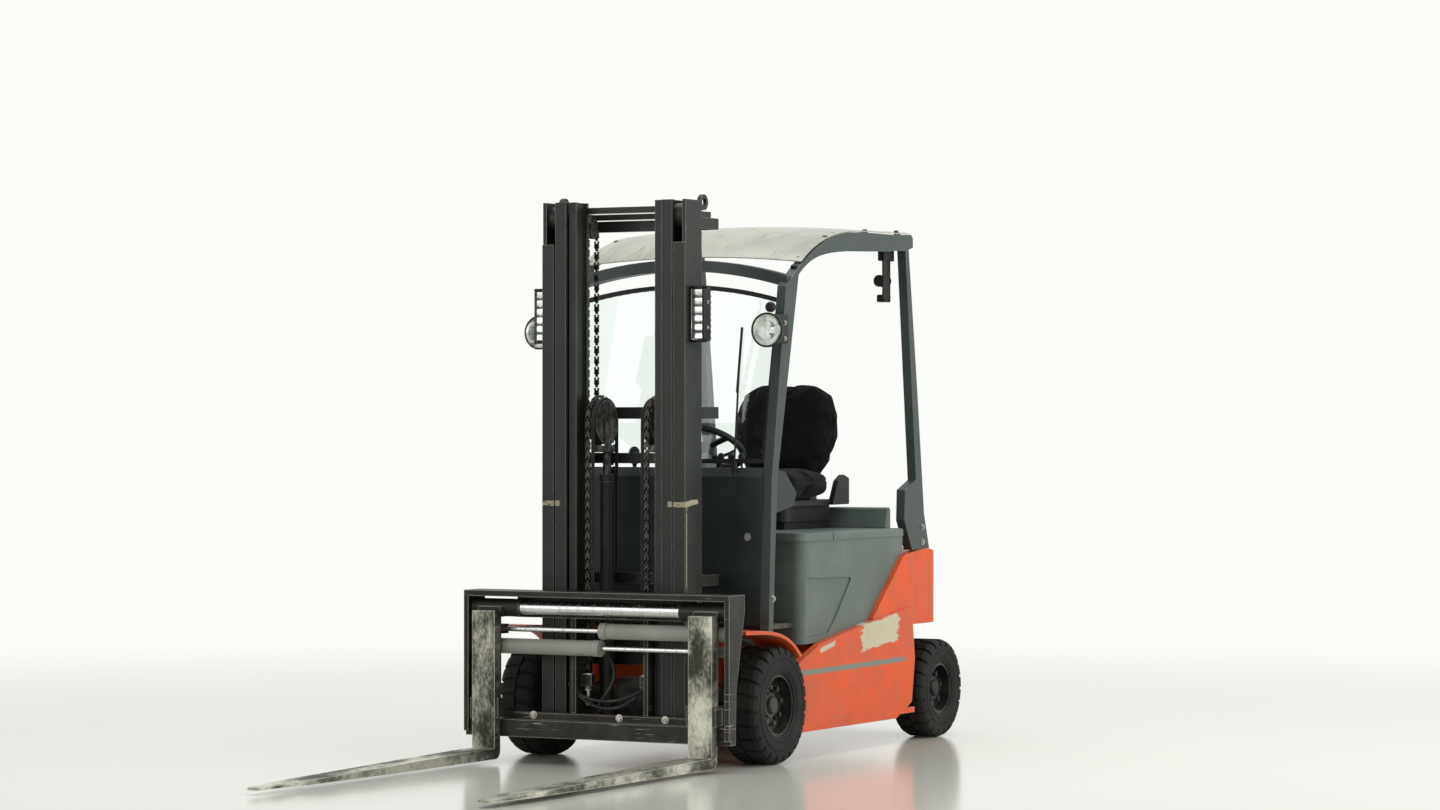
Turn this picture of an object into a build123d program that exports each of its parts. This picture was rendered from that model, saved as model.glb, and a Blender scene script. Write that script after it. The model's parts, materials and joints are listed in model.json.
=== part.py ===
from build123d import *
import os

# Electric counterbalance forklift with a three-stage mast and a fork positioner.
# Millimetres. It faces -Y, +X is its left side, and it stands on z = 0.

# Overall layout
wheelbase = 1475
load_distance = 470
fork_length = 1500
rear_overhang = 250
overall_length = fork_length + load_distance + wheelbase + rear_overhang
front_y = overall_length / 2 - rear_overhang - wheelbase
rear_y = front_y + wheelbase
tail_y = rear_y + rear_overhang

# Wheels
front_tyre_r = 222
front_tyre_w = 160
front_width = 1120
rear_tyre_r = 200
rear_tyre_w = 150
rear_width = 1060
front_rim_r = 116
rear_rim_r = 102
rim_wall = 8
shoulder = 24
bead_inset = 14
hub_r = 46
spindle_r = 30
rear_spindle_r = 22
axle_tube_r = 58
turn_gap = 0.3
front_wheel_x = (front_width - front_tyre_w) / 2
rear_wheel_x = (rear_width - rear_tyre_w) / 2

# Steered axle
kingpin_x = rear_wheel_x - 80
kingpin_r = 12
knuckle_r = 28
knuckle_h = 35
clevis_t = 20
trunnion_z = rear_tyre_r + 40
trunnion_r = 34

# Clearances between moving pieces
slide_gap = 6
pin_gap = 0.3

# Mast sections, all stages
mast_half = front_width / 2 - 250
mast_front_y = front_y - 300
mast_bottom = 90
mast_top = 2120
flange_t = 18
column_depth = 129
outer_web = 15
outer_flange = 50
outer_front_top = mast_top - 160
middle_width = 47
middle_web = 14
inner_width = 30
inner_web = 8
inner_web_in = 11
inner_flange_t = 14
roller_r = column_depth / 2 - flange_t - 0.3
inner_roller_r = 32
lower_roller_z = 155
roller_pitch = 350
top_roller_z = mast_top - 58
stub_r = 18
middle_out = mast_half - outer_flange - slide_gap
middle_in = middle_out - middle_width
inner_out = middle_in - slide_gap
inner_in = inner_out - inner_width
mast_rear_y = mast_front_y + column_depth
channel_y = (mast_front_y + mast_rear_y) / 2

# Mast pivot and tilt cylinders
pivot_z = 200
pivot_y = front_y - 105
pivot_r = 20
lug_r = 32
lug_t = 25
tilt_x = mast_half + 27
tilt_pin_r = 12
tilt_mast_z = 520
tilt_mast_y = mast_rear_y - 28
tilt_frame_y = front_y + 262
tilt_frame_z = 420
tilt_barrel_r = 22
tilt_rod_r = 11

# Lift cylinders
lift_x = mast_half - 50
lift_r = 28
lift_bore = 21
lift_rod_r = 15
lift_y = mast_rear_y + 31
lift_bottom = 280
lift_top = mast_top - 190
free_x = inner_in - 52
free_r = 28
free_bore = 21
free_rod_r = 16
free_y = mast_rear_y + 31
free_bottom = 135
free_top = mast_top / 2 + 30
pulley_r = 85
pulley_w = 40
pulley_z = free_top + 198
pulley_y = front_y - 175
chain_w = 20
chain_t = 12
main_chain_x = inner_out - 7
main_pulley_r = 30
main_pulley_z = mast_top - 100
chain_anchor_z = 1345
main_pulley_y = mast_rear_y + 4 + chain_t + main_pulley_r
main_pin_r = 10

# Ties of the mast stages, one plane each
middle_tie_y = front_y - 72
outer_tie_y = front_y - 52
tie_t = 14

# Fork frame
frame_half = 573
side_t = 20
frame_front_y = front_y - 440
frame_top = 651
frame_bottom = 100
top_depth = 120
shaft_z = 585
shaft_r = 26.5
shaft_y = frame_front_y + 55
sleeve_r = 34
upper_cyl_z = 505
lower_cyl_z = 440
cyl_r = 29.5
cyl_bore = 22
rod_r = 10
rail_top = 165
rail_depth = 40

# Forks
fork_x = frame_half - 106
sleeve_in = fork_x - 121
fork_w = 100
fork_t = 40
fork_front_y = front_y - load_distance
shank_top = 575
fork_under = 15
fork_tip_t = 10

# Body
skirt_x = front_width / 2 - 30
skirt_t = 30
skirt_bottom = 104
hood_half = skirt_x - skirt_t
hood_wall = 28
hollow_depth = 7
hood_front_y = front_y + 300
hood_rear_y = rear_y - 255
hood_top = 830
lid_front_y = front_y + 540
lid_t = 30
lid_gap = 6
lid_seat = 0.3
hinge_y = rear_y - 290
hinge_z = hood_top + 6
hinge_r = 8
hinge_pin_r = 4
hinge_post_x = 390
hinge_post_t = 10
floor_z = 510
weight_half = hood_half
pin_hole_r = 16
pin_hole_bottom = 400
tow_slot_low = 470
tow_slot_high = 560

# Overhead guard
guard_out = hood_half - 10
guard_w = 38
cowl_half = guard_out - guard_w
seat_half = 240
seat_y = front_y + 920
seat_plate_t = 32
seat_pan_z = 95
seat_pan_t = 20
seat_cushion_t = 125
seat_back_t = 95
wheel_ring_r = 150


def block(x0, x1, y0, y1, z0, z1):
    """A box between two corners."""
    size = (x1 - x0, y1 - y0, z1 - z0)
    return Pos((x0 + x1) / 2, (y0 + y1) / 2, (z0 + z1) / 2) * Box(*size)


def rod_x(x0, x1, y, z, r):
    """A round bar along X."""
    return Pos((x0 + x1) / 2, y, z) * Rot(0, 90, 0) * Cylinder(r, abs(x1 - x0))


def rod_y(x, y0, y1, z, r):
    """A round bar along Y."""
    return Pos(x, (y0 + y1) / 2, z) * Rot(90, 0, 0) * Cylinder(r, abs(y1 - y0))


def rod_z(x, y, z0, z1, r):
    """A round bar along Z."""
    return Pos(x, y, (z0 + z1) / 2) * Cylinder(r, z1 - z0)


def bar(start, end, r):
    """A round bar between two points."""
    a = Vector(*start)
    b = Vector(*end)
    plane = Plane(origin=a, z_dir=b - a)
    return extrude(plane * Circle(r), amount=(b - a).length)


def side_prism(points, x0, x1, radius=0):
    """An outline in Y and Z, run along X."""
    face = make_face(Polyline(*[(0, y, z) for y, z in points], close=True))
    if radius:
        face = fillet(face.vertices(), radius)
    return extrude(Pos(x0, 0, 0) * face, amount=x1 - x0, dir=(1, 0, 0))


def both(solid):
    """The solid and its mirror image across the middle of the vehicle."""
    return [solid, mirror(solid, Plane.YZ)]


def fused(*solids):
    """One solid out of several that touch."""
    flat = []
    for item in solids:
        flat += item if isinstance(item, list) else [item]
    whole = flat[0]
    for item in flat[1:]:
        whole = whole + item
    return whole


def save(name, *solids):
    """Writes one node."""
    flat = []
    for item in solids:
        flat += item if isinstance(item, list) else [item]
    pieces = []
    for item in flat:
        pieces += item.solids()
    shape = pieces[0] if len(pieces) == 1 else Compound(children=pieces)
    export_step(shape, f"parts/{name}.step")


def spin_profile(points, x, y, z):
    """A profile of (distance along X, radius) pairs, turned round an X axis."""
    face = make_face(Polyline(*[(along, radius) for along, radius in points], close=True))
    return Pos(x, y, z) * revolve(face, Axis.X)


def tyre(x, y, r, width, rim_r):
    """A tyre with bevelled shoulders, centred at x."""
    half = width / 2
    side = [(half - bead_inset, rim_r), (half, rim_r + 22), (half, r - shoulder), (half - shoulder * 0.3, r - shoulder * 0.3),
            (half - shoulder, r)]
    return spin_profile(side + [(-along, radius) for along, radius in reversed(side)], x, y, r)


def rim(x, y, r, width, rim_r, bore_r, side):
    """A dished steel rim, its disc towards the outside, with a ring of holes and a hub."""
    half = width / 2 - bead_inset
    outer = [(-half, rim_r - rim_wall), (half, rim_r - rim_wall), (half, rim_r), (-half, rim_r)]
    shell = spin_profile(outer, 0, 0, 0)
    disc_x = side * 12
    disc = spin_profile([(disc_x - 6, bore_r + 1), (disc_x + 6, bore_r + 1),
                         (disc_x + 6, rim_r - 1), (disc_x - 6, rim_r - 1)], 0, 0, 0)
    hub = spin_profile([(-20, bore_r), (disc_x * 2 + 10, bore_r), (disc_x * 2 + 10, hub_r),
                        (-20, hub_r)] if side > 0 else
                       [(disc_x * 2 - 10, bore_r), (20, bore_r), (20, hub_r),
                        (disc_x * 2 - 10, hub_r)], 0, 0, 0)
    whole = shell + disc + hub
    mid_r = (hub_r + rim_r - rim_wall) / 2
    for turn in range(8):
        hole = Rot(turn * 45, 0, 0) * rod_x(disc_x - 10, disc_x + 10, 0, mid_r, 9)
        whole = whole - hole
    return Pos(x, y, r) * whole


def wheels():
    """Four wheels, each a tyre on a rim."""
    for name, side in (("left", 1), ("right", -1)):
        save(f"front_{name}_tyre",
             tyre(side * front_wheel_x, front_y, front_tyre_r, front_tyre_w, front_rim_r))
        save(f"front_{name}_rim",
             rim(side * front_wheel_x, front_y, front_tyre_r, front_tyre_w, front_rim_r,
                 spindle_r + turn_gap, side))
        save(f"rear_{name}_tyre",
             tyre(side * rear_wheel_x, rear_y, rear_tyre_r, rear_tyre_w, rear_rim_r))
        save(f"rear_{name}_rim",
             rim(side * rear_wheel_x, rear_y, rear_tyre_r, rear_tyre_w, rear_rim_r,
                 rear_spindle_r + turn_gap, side))


def drive_axle():
    """Front axle tube, its middle housing, spindles, and the ears that hold the mast pins."""
    end = front_wheel_x - 120
    tube = rod_x(-end, end, front_y, front_tyre_r, axle_tube_r)
    housing = rod_x(-120, 120, front_y, front_tyre_r, 92)
    parts = [tube, housing]
    for side in (1, -1):
        parts.append(rod_x(side * (end - 5), side * (front_wheel_x + 45), front_y, front_tyre_r, spindle_r))
        parts.append(rod_x(side * (end - 5), side * (end + 15), front_y, front_tyre_r, 88))
        pin_in = side * (mast_half - lug_t - slide_gap - lug_t)
        pin_out = side * (mast_half + slide_gap)
        parts.append(rod_x(pin_in, pin_out + side * lug_t * 0.6, pivot_y, pivot_z, pivot_r))
        for x in (pin_in, pin_out):
            width = lug_t if x == pin_in else lug_t * 0.6
            ear = side_prism([(pivot_y, pivot_z - lug_r), (front_y, pivot_z - lug_r),
                              (front_y, pivot_z + lug_r), (pivot_y, pivot_z + lug_r)], 0, width)
            ear = ear + rod_x(0, width, pivot_y, pivot_z, lug_r)
            parts.append(Pos(x if side > 0 else x - width, 0, 0) * ear)
    save("drive_axle", fused(parts))


def steer_axle():
    """Rear beam, narrow towards its clevis ends, with the kingpins."""
    z = rear_tyre_r
    beam = kingpin_x - 135
    parts = [block(-beam, beam, rear_y - 38, rear_y + 38, z - 50, z + 50),
             rod_y(0, rear_y - 60, rear_y + 60, trunnion_z, trunnion_r)]
    gap_z = knuckle_h + 1
    for side in (1, -1):
        for z0, z1 in ((z + gap_z, z + gap_z + clevis_t), (z - gap_z - clevis_t, z - gap_z)):
            x0, x1 = sorted((side * (beam - 10), side * kingpin_x))
            parts.append(block(x0, x1, rear_y - 22, rear_y + 22, z0, z1))
            parts.append(rod_z(side * kingpin_x, rear_y, z0, z1, knuckle_r))
        x0, x1 = sorted((side * (beam - 10), side * (kingpin_x - knuckle_r - 8)))
        parts.append(block(x0, x1, rear_y - 22, rear_y + 22, z - 50, z + 50))
        low = z - gap_z - clevis_t
        parts.append(rod_z(side * kingpin_x, rear_y, low, z + gap_z + clevis_t, kingpin_r))
    save("steer_axle", fused(parts))


def knuckles():
    """Steering knuckles: a boss on the kingpin with the wheel's spindle."""
    z = rear_tyre_r
    for name, side in (("left", 1), ("right", -1)):
        boss = rod_z(side * kingpin_x, rear_y, z - knuckle_h, z + knuckle_h, knuckle_r)
        end_x = rear_wheel_x + 40
        spindle = rod_x(side * (kingpin_x + 5), side * end_x, rear_y, z, rear_spindle_r)
        bore = rod_z(side * kingpin_x, rear_y, z - 60, z + 60, kingpin_r + pin_gap)
        boss = boss + spindle - bore
        save(f"knuckle_{name}", boss)


def mast_column(x_in, x_out, web_x, web_t, y0, y1, flange, top):
    """One rolled mast section: two flanges and a web, for the left side."""
    web = block(web_x, web_x + web_t, y0, y1, mast_bottom, top)
    front = block(x_in, x_out, y0, y0 + flange, mast_bottom, top)
    rear = block(x_in, x_out, y1 - flange, y1, mast_bottom, top)
    return web + front + rear


def mast_outer():
    """Outer stage: two channels, ties behind them, pivot lugs and tilt brackets."""
    web_x = mast_half - outer_web
    column = mast_column(mast_half - outer_flange, mast_half, web_x, outer_web,
                         mast_front_y, mast_rear_y, flange_t, mast_top)
    cut = block(mast_half - outer_flange - 1, web_x, mast_front_y - 1, channel_y,
                outer_front_top, mast_top + 1)
    lip = block(web_x - 1, mast_half + 1, mast_front_y - 1, mast_front_y + 6,
                outer_front_top, mast_top + 1)
    column = column - cut - lip
    roller = rod_x(middle_out - 11, web_x, channel_y, top_roller_z, roller_r)
    stub = rod_x(web_x - 8, mast_half, channel_y, top_roller_z, stub_r)
    lug = side_prism([(mast_rear_y - 2, 130), (pivot_y, pivot_z - lug_r),
                      (pivot_y, pivot_z + lug_r), (mast_rear_y - 2, 290)],
                     mast_half - lug_t, mast_half)
    lug = lug + rod_x(mast_half - lug_t, mast_half, pivot_y, pivot_z, lug_r)
    bracket = side_prism([(mast_rear_y - 40, tilt_mast_z - 45), (mast_rear_y - 5, tilt_mast_z - 30),
                          (mast_rear_y - 5, tilt_mast_z + 30), (mast_rear_y - 40, tilt_mast_z + 45)],
                         mast_half, mast_half + 6)
    pin = rod_x(mast_half, tilt_x + 17, tilt_mast_y, tilt_mast_z, tilt_pin_r)
    foot = block(lift_x - lift_r, web_x + 1, mast_rear_y - 1, lift_y + lift_r,
                 lift_bottom - 16, lift_bottom)
    eye_y = front_y - 150
    eye = rod_x(mast_half - outer_web, mast_half, eye_y, mast_top - 6, 30)
    eye = eye - rod_x(0, mast_half + 10, eye_y, mast_top - 6, 17)
    half = fused(column, roller, stub, lug, bracket, pin, foot, eye)
    hole = rod_x(mast_half - lug_t - 10, mast_half + 5, pivot_y, pivot_z, pivot_r + pin_gap)
    half = half - hole
    parts = both(half)
    for z0, z1 in ((mast_top - 105, mast_top - 63), (chain_anchor_z - 45, chain_anchor_z), (672, 712), (360, 410)):
        tie = block(-mast_half, mast_half, outer_tie_y, outer_tie_y + tie_t, z0, z1)
        arm = block(mast_half - 17, mast_half, mast_rear_y - 2, outer_tie_y + tie_t, z0, z1)
        parts += [tie] + both(arm)
    save("mast_outer", fused(parts))


def lift_cylinders():
    """The two long lift cylinders behind the outer columns."""
    barrel = rod_z(lift_x, lift_y, lift_bottom, lift_top, lift_r)
    barrel = barrel - rod_z(lift_x, lift_y, lift_bottom + 20, lift_top, lift_bore)
    gland = rod_z(lift_x, lift_y, lift_top - 40, lift_top, lift_r + 2)
    gland = gland - rod_z(lift_x, lift_y, lift_top - 40, lift_top, lift_rod_r + pin_gap)
    barrel = barrel + gland
    save("lift_cylinder_barrels", both(barrel))
    rod = rod_z(lift_x, lift_y, lift_bottom + 60, mast_top - 60, lift_rod_r)
    save("lift_cylinder_rods", both(rod))


def mast_middle():
    """Middle stage: I sections with rollers, ties, lift rod caps and chain pulleys."""
    web_x = (middle_in + middle_out - middle_web) / 2
    y0 = mast_front_y + 2
    y1 = mast_rear_y - 2
    column = mast_column(middle_in, middle_out, web_x, middle_web, y0, y1, 16, mast_top)
    parts = [column]
    out_end = mast_half - outer_web - slide_gap
    for z in (lower_roller_z, lower_roller_z + roller_pitch):
        parts.append(rod_x(web_x + middle_web - 1, middle_out + 9, channel_y, z, stub_r))
        parts.append(rod_x(middle_out + 8, out_end, channel_y, z, roller_r))
    parts.append(rod_x(inner_out - slide_gap, web_x + 1, channel_y, top_roller_z, inner_roller_r))
    arm_x = middle_in + 2
    cap_z = mast_top - 60
    parts.append(block(arm_x, lift_x + lift_r, mast_rear_y + 4, middle_tie_y + tie_t,
                       cap_z, cap_z + 22))
    parts.append(block(arm_x, arm_x + 18, y1 - 2, middle_tie_y + tie_t,
                       main_pulley_z - main_pulley_r, cap_z + 22))
    parts.append(rod_x(main_chain_x - 11, arm_x + 1, main_pulley_y, main_pulley_z, main_pin_r))
    half = fused(parts)
    both_sides = both(half)
    for z0, z1 in ((cap_z, cap_z + 22), (1130, 1170), (430, 480)):
        tie = block(-arm_x - 18, arm_x + 18, middle_tie_y, middle_tie_y + tie_t, z0, z1)
        arm = block(arm_x, arm_x + 18, y1 - 2, middle_tie_y + tie_t, z0, z1)
        both_sides += [tie] + both(arm)
    save("mast_middle", fused(both_sides))


def chain_band(x, width, pulley_yz, r, front_end, rear_end):
    """A flat chain over a pulley: two straight runs and the half turn on top."""
    y, z = pulley_yz
    outer = rod_x(x - width / 2, x + width / 2, y, z, r + chain_t)
    outer = outer - rod_x(x - width / 2, x + width / 2, y, z, r)
    outer = outer - block(x - width, x + width, y - r * 2, y + r * 2, z - r * 2, z)
    front = block(x - width / 2, x + width / 2, y - r - chain_t, y - r, front_end, z)
    rear = block(x - width / 2, x + width / 2, y + r, y + r + chain_t, rear_end, z)
    return fused(outer, front, rear)


def main_chains():
    """Chains that raise the inner stage as the middle one rises, and their pulleys."""
    y = main_pulley_y
    wheel = rod_x(main_chain_x - 10, main_chain_x + 10, y, main_pulley_z, main_pulley_r - pin_gap)
    wheel = wheel - rod_x(main_chain_x - 20, main_chain_x + 20, y, main_pulley_z, main_pin_r + pin_gap)
    save("main_pulleys", both(wheel))
    chain = chain_band(main_chain_x, chain_w, (y, main_pulley_z), main_pulley_r, 150, chain_anchor_z)
    save("main_chains", both(chain))


def mast_inner():
    """Inner stage: I sections with rollers, top and bottom cross members."""
    web_x = inner_in + inner_web_in
    y0 = channel_y - inner_roller_r - pin_gap - inner_flange_t
    y1 = channel_y + inner_roller_r + pin_gap + inner_flange_t
    column = mast_column(inner_in, inner_out, web_x, inner_web, y0, y1, inner_flange_t, mast_top)
    parts = [column]
    for z in (lower_roller_z, lower_roller_z + roller_pitch):
        parts.append(rod_x(web_x + inner_web - 1, inner_out + 2, channel_y, z, stub_r))
        parts.append(rod_x(inner_out + 1, middle_in + 11, channel_y, z, roller_r))
    half = fused(parts)
    sides = both(half)
    sides.append(block(-inner_in - 2, inner_in + 2, y1 - 14, y1, mast_top - 42, mast_top - 18))
    sides.append(block(-main_chain_x - 10, main_chain_x + 10, y1 - 3, free_y + free_r,
                       free_bottom - 25, free_bottom))
    save("mast_inner", fused(sides))


def free_lift():
    """Short cylinders on the inner stage, their rods, pulleys, chains and hoses."""
    barrel = rod_z(free_x, free_y, free_bottom, free_top, free_r)
    barrel = barrel - rod_z(free_x, free_y, free_bottom + 20, free_top, free_bore)
    gland = rod_z(free_x, free_y, free_top - 30, free_top, free_r + 3)
    gland = gland - rod_z(free_x, free_y, free_top - 30, free_top, free_rod_r + pin_gap)
    save("free_lift_barrels", both(barrel + gland))
    rod = rod_z(free_x, free_y, free_bottom + 60, pulley_z - pulley_r - 15, free_rod_r)
    cheek = pulley_w / 2 + 4
    head = block(free_x - cheek, free_x + cheek, free_y - 55, free_y + 18,
                 pulley_z - pulley_r - 30, pulley_z - pulley_r - 4)
    for side in (1, -1):
        x0, x1 = sorted((free_x + side * (cheek - 3.5), free_x + side * cheek))
        head = head + block(x0, x1, free_y - 55, free_y - 5, pulley_z - pulley_r - 10, pulley_z + 20)
    pin = rod_x(free_x - cheek, free_x + cheek, pulley_y, pulley_z, 12)
    wheel = rod_x(free_x - pulley_w / 2, free_x + pulley_w / 2, pulley_y, pulley_z, pulley_r)
    save("free_lift_rods", both(fused(rod, head, pin, wheel)))
    chain = chain_band(free_x + 9, chain_w, (pulley_y, pulley_z), pulley_r + pin_gap, 334, 1000)
    save("lift_chains", both(chain))
    hoses = []
    for x in (free_x - 15, free_x - 7):
        hoses.append(hose(x))
    save("mast_hoses", both(hoses[0]) + both(hoses[1]))


def hose(x):
    """One hose that runs over the pulley."""
    r = 3.5
    turn_r = pulley_r + r + 1
    front = (x, pulley_y - turn_r, pulley_z)
    rear = (x, pulley_y + turn_r, pulley_z)
    path = Line((x, front[1], 420), front) + ThreePointArc(
        front, (x, pulley_y, pulley_z + turn_r), rear) + Line(rear, (x, rear[1], 720))
    start = Plane(origin=(x, front[1], 420), z_dir=(0, 0, 1))
    return sweep(start * Circle(r), path=path)


def carriage():
    """Roller plates inside the inner stage, and the cross bars that carry the fork frame."""
    x1 = inner_in - slide_gap
    x0 = x1 - 18
    rear = channel_y + 36
    plate_front = frame_front_y + top_depth - 5
    plate = side_prism([(plate_front, 130), (rear, 160), (rear, 570), (plate_front, 612)], x0, x1)
    parts = [plate]
    for z in (210, 520):
        parts.append(rod_x(x1 - 1, inner_in + inner_web_in - slide_gap + 1, channel_y, z, inner_roller_r))
    parts.append(block(free_x - 14, x0 + 1, pulley_y - pulley_r - 20, pulley_y - pulley_r + 10,
                       290, 334))
    half = fused(parts)
    sides = both(half)
    bar_half = frame_half - 173
    sides.append(block(-bar_half, bar_half, plate_front - 22, plate_front, 548, 612))
    sides.append(block(-bar_half, bar_half, plate_front - 22, plate_front, 130, 190))
    save("carriage", fused(sides))


def positioner_frame():
    """Top plate with its lip, two side plates and the lower rail."""
    back = frame_front_y + top_depth
    carriage_y = back - 5 - 22
    top = block(-frame_half, frame_half, frame_front_y, back, frame_top - 22, frame_top)
    side = side_prism([(frame_front_y, 117), (frame_front_y + 50, 117), (frame_front_y + 55, 300),
                       (back, frame_top - 60), (back, frame_top - 10), (frame_front_y, frame_top - 10)],
                      frame_half - side_t, frame_half)
    for z in (200, 270, 340):
        side = side - rod_x(frame_half - 50, frame_half + 5, frame_front_y + 30, z, 6)
    side = side + block(frame_half - side_t, frame_half, frame_front_y + 15,
                        frame_front_y + 50, frame_bottom, 120)
    rail = block(-frame_half + side_t, frame_half - side_t, frame_front_y + 15,
                 frame_front_y + 15 + rail_depth, frame_bottom, rail_top)
    rail_back = frame_front_y + 15 + rail_depth
    half = frame_half - 183
    shelf = block(-half, half, rail_back - 1, carriage_y, rail_top - 25, rail_top - 1)
    shelf = shelf + block(-half, half, rail_back + slide_gap, carriage_y, rail_top - 25, rail_top + 25)
    hang = block(-half, half, carriage_y - 2, carriage_y, frame_top - 45, frame_top - 20)
    save("positioner_frame", fused([top] + both(side) + [rail, shelf, hang]))


def fork_gear():
    """Forks with their hangers and rods, and the shaft and cylinders they run on."""
    inner = frame_half - side_t
    save("fork_shaft", rod_x(-inner, inner, shaft_y, shaft_z, shaft_r))
    barrels = []
    for side, z in ((1, upper_cyl_z), (-1, lower_cyl_z)):
        x0, x1 = sorted((0, side * inner))
        tube = rod_x(x0, x1, shaft_y, z, cyl_r)
        b0, b1 = sorted((0, side * (inner - 20)))
        bore = rod_x(b0, b1, shaft_y, z, cyl_bore)
        g0, g1 = sorted((0, side * 30))
        gland = rod_x(g0, g1, shaft_y, z, cyl_r + 2) - rod_x(g0, g1, shaft_y, z, rod_r + pin_gap)
        barrels.append(tube - bore + gland)
    save("positioner_barrels", barrels)
    shank_back = fork_front_y + fork_t
    for name, side, z in (("left", 1, lower_cyl_z), ("right", -1, upper_cyl_z)):
        x0, x1 = sorted((side * (fork_x - fork_w / 2), side * (fork_x + fork_w / 2)))
        save(f"fork_{name}", fork(x0, x1, shank_back))
        s0, s1 = sorted((side * sleeve_in, side * (inner - 5)))
        sleeve = rod_x(s0, s1, shaft_y, shaft_z, sleeve_r)
        neck = block(x0, x1, shank_back, shaft_y, shaft_z - sleeve_r, shaft_z + 5)
        lug = block(x0, x1, shank_back, shaft_y + 16, z - 18, z + 18)
        guide = block(x0, x1, shank_back, frame_front_y + 55, rail_top + 6, rail_top + 70)
        clamp_in = block(x0 - 12, x0, fork_front_y + 5, shank_back + 12, rail_top + 6, rail_top + 80)
        clamp_out = block(x1, x1 + 12, fork_front_y + 5, shank_back + 12, rail_top + 6, rail_top + 80)
        bore = rod_x(s0 - 5, s1 + 5, shaft_y, shaft_z, shaft_r + pin_gap)
        spine = block(x0, x1, shank_back, shank_back + 8, rail_top + 6, shaft_z)
        hanger = fused(sleeve, neck, lug, guide, clamp_in, clamp_out, spine) - bore
        save(f"hanger_{name}", hanger)
        r0, r1 = sorted((side * (fork_x - fork_w / 2), side * -30))
        save(f"rod_{name}", rod_x(r0, r1, shaft_y, z, rod_r))


def fork(x0, x1, shank_back):
    """A forged fork: upright shank, rounded heel and a blade that thins to its tip."""
    tip_y = fork_front_y - fork_length
    outline = Polyline((0, shank_back, fork_under), (0, shank_back, shank_top),
                       (0, fork_front_y, shank_top), (0, fork_front_y, fork_under + fork_t),
                       (0, fork_front_y - 150, fork_under + fork_t),
                       (0, tip_y, fork_under + 3 + fork_tip_t), (0, tip_y, fork_under + 3),
                       (0, fork_front_y - 700, fork_under), close=True)
    face = make_face(outline)
    heel = face.vertices().filter_by(lambda v: abs(v.Y - shank_back) < 1 and v.Z < 100)
    face = fillet(heel, 32)
    solid = extrude(Pos(x0, 0, 0) * face, amount=x1 - x0, dir=(1, 0, 0))
    mid = (x0 + x1) / 2
    half = (x1 - x0) / 2
    plan = Polyline((mid - half, shank_back + 5, 0), (mid + half, shank_back + 5, 0),
                    (mid + half, tip_y + 260, 0), (mid + 22, tip_y, 0), (mid - 22, tip_y, 0),
                    (mid - half, tip_y + 260, 0), close=True)
    plan_face = make_face(plan)
    return solid & extrude(plan_face, amount=shank_top + 10, dir=(0, 0, 1))


def tilt_cylinders():
    """Cylinders between the frame and the outer stage, beside the columns."""
    a = Vector(tilt_x, tilt_frame_y, tilt_frame_z)
    b = Vector(tilt_x, tilt_mast_y, tilt_mast_z)
    way = (b - a).normalized()
    length = (b - a).length
    end = a + way * (length - 150)
    barrel = bar(tuple(a + way * 20), tuple(end), tilt_barrel_r)
    barrel = barrel - bar(tuple(a + way * 45), tuple(end), tilt_rod_r + 6)
    gland = bar(tuple(end - way * 30), tuple(end), tilt_barrel_r)
    gland = gland - bar(tuple(end - way * 30), tuple(end), tilt_rod_r + pin_gap)
    eye = rod_x(tilt_x - 15, tilt_x + 15, a.Y, a.Z, 24)
    eye_bore = rod_x(tilt_x - 20, tilt_x + 20, a.Y, a.Z, tilt_pin_r + pin_gap)
    save("tilt_barrels", both(fused(barrel, gland, eye) - eye_bore))
    rod = bar(tuple(a + way * 120), tuple(b - way * 15), tilt_rod_r)
    rod_eye = rod_x(tilt_x - 15, tilt_x + 15, b.Y, b.Z, 22)
    rod_bore = rod_x(tilt_x - 20, tilt_x + 20, b.Y, b.Z, tilt_pin_r + 2)
    save("tilt_rods", both(fused(rod, rod_eye) - rod_bore))


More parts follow.
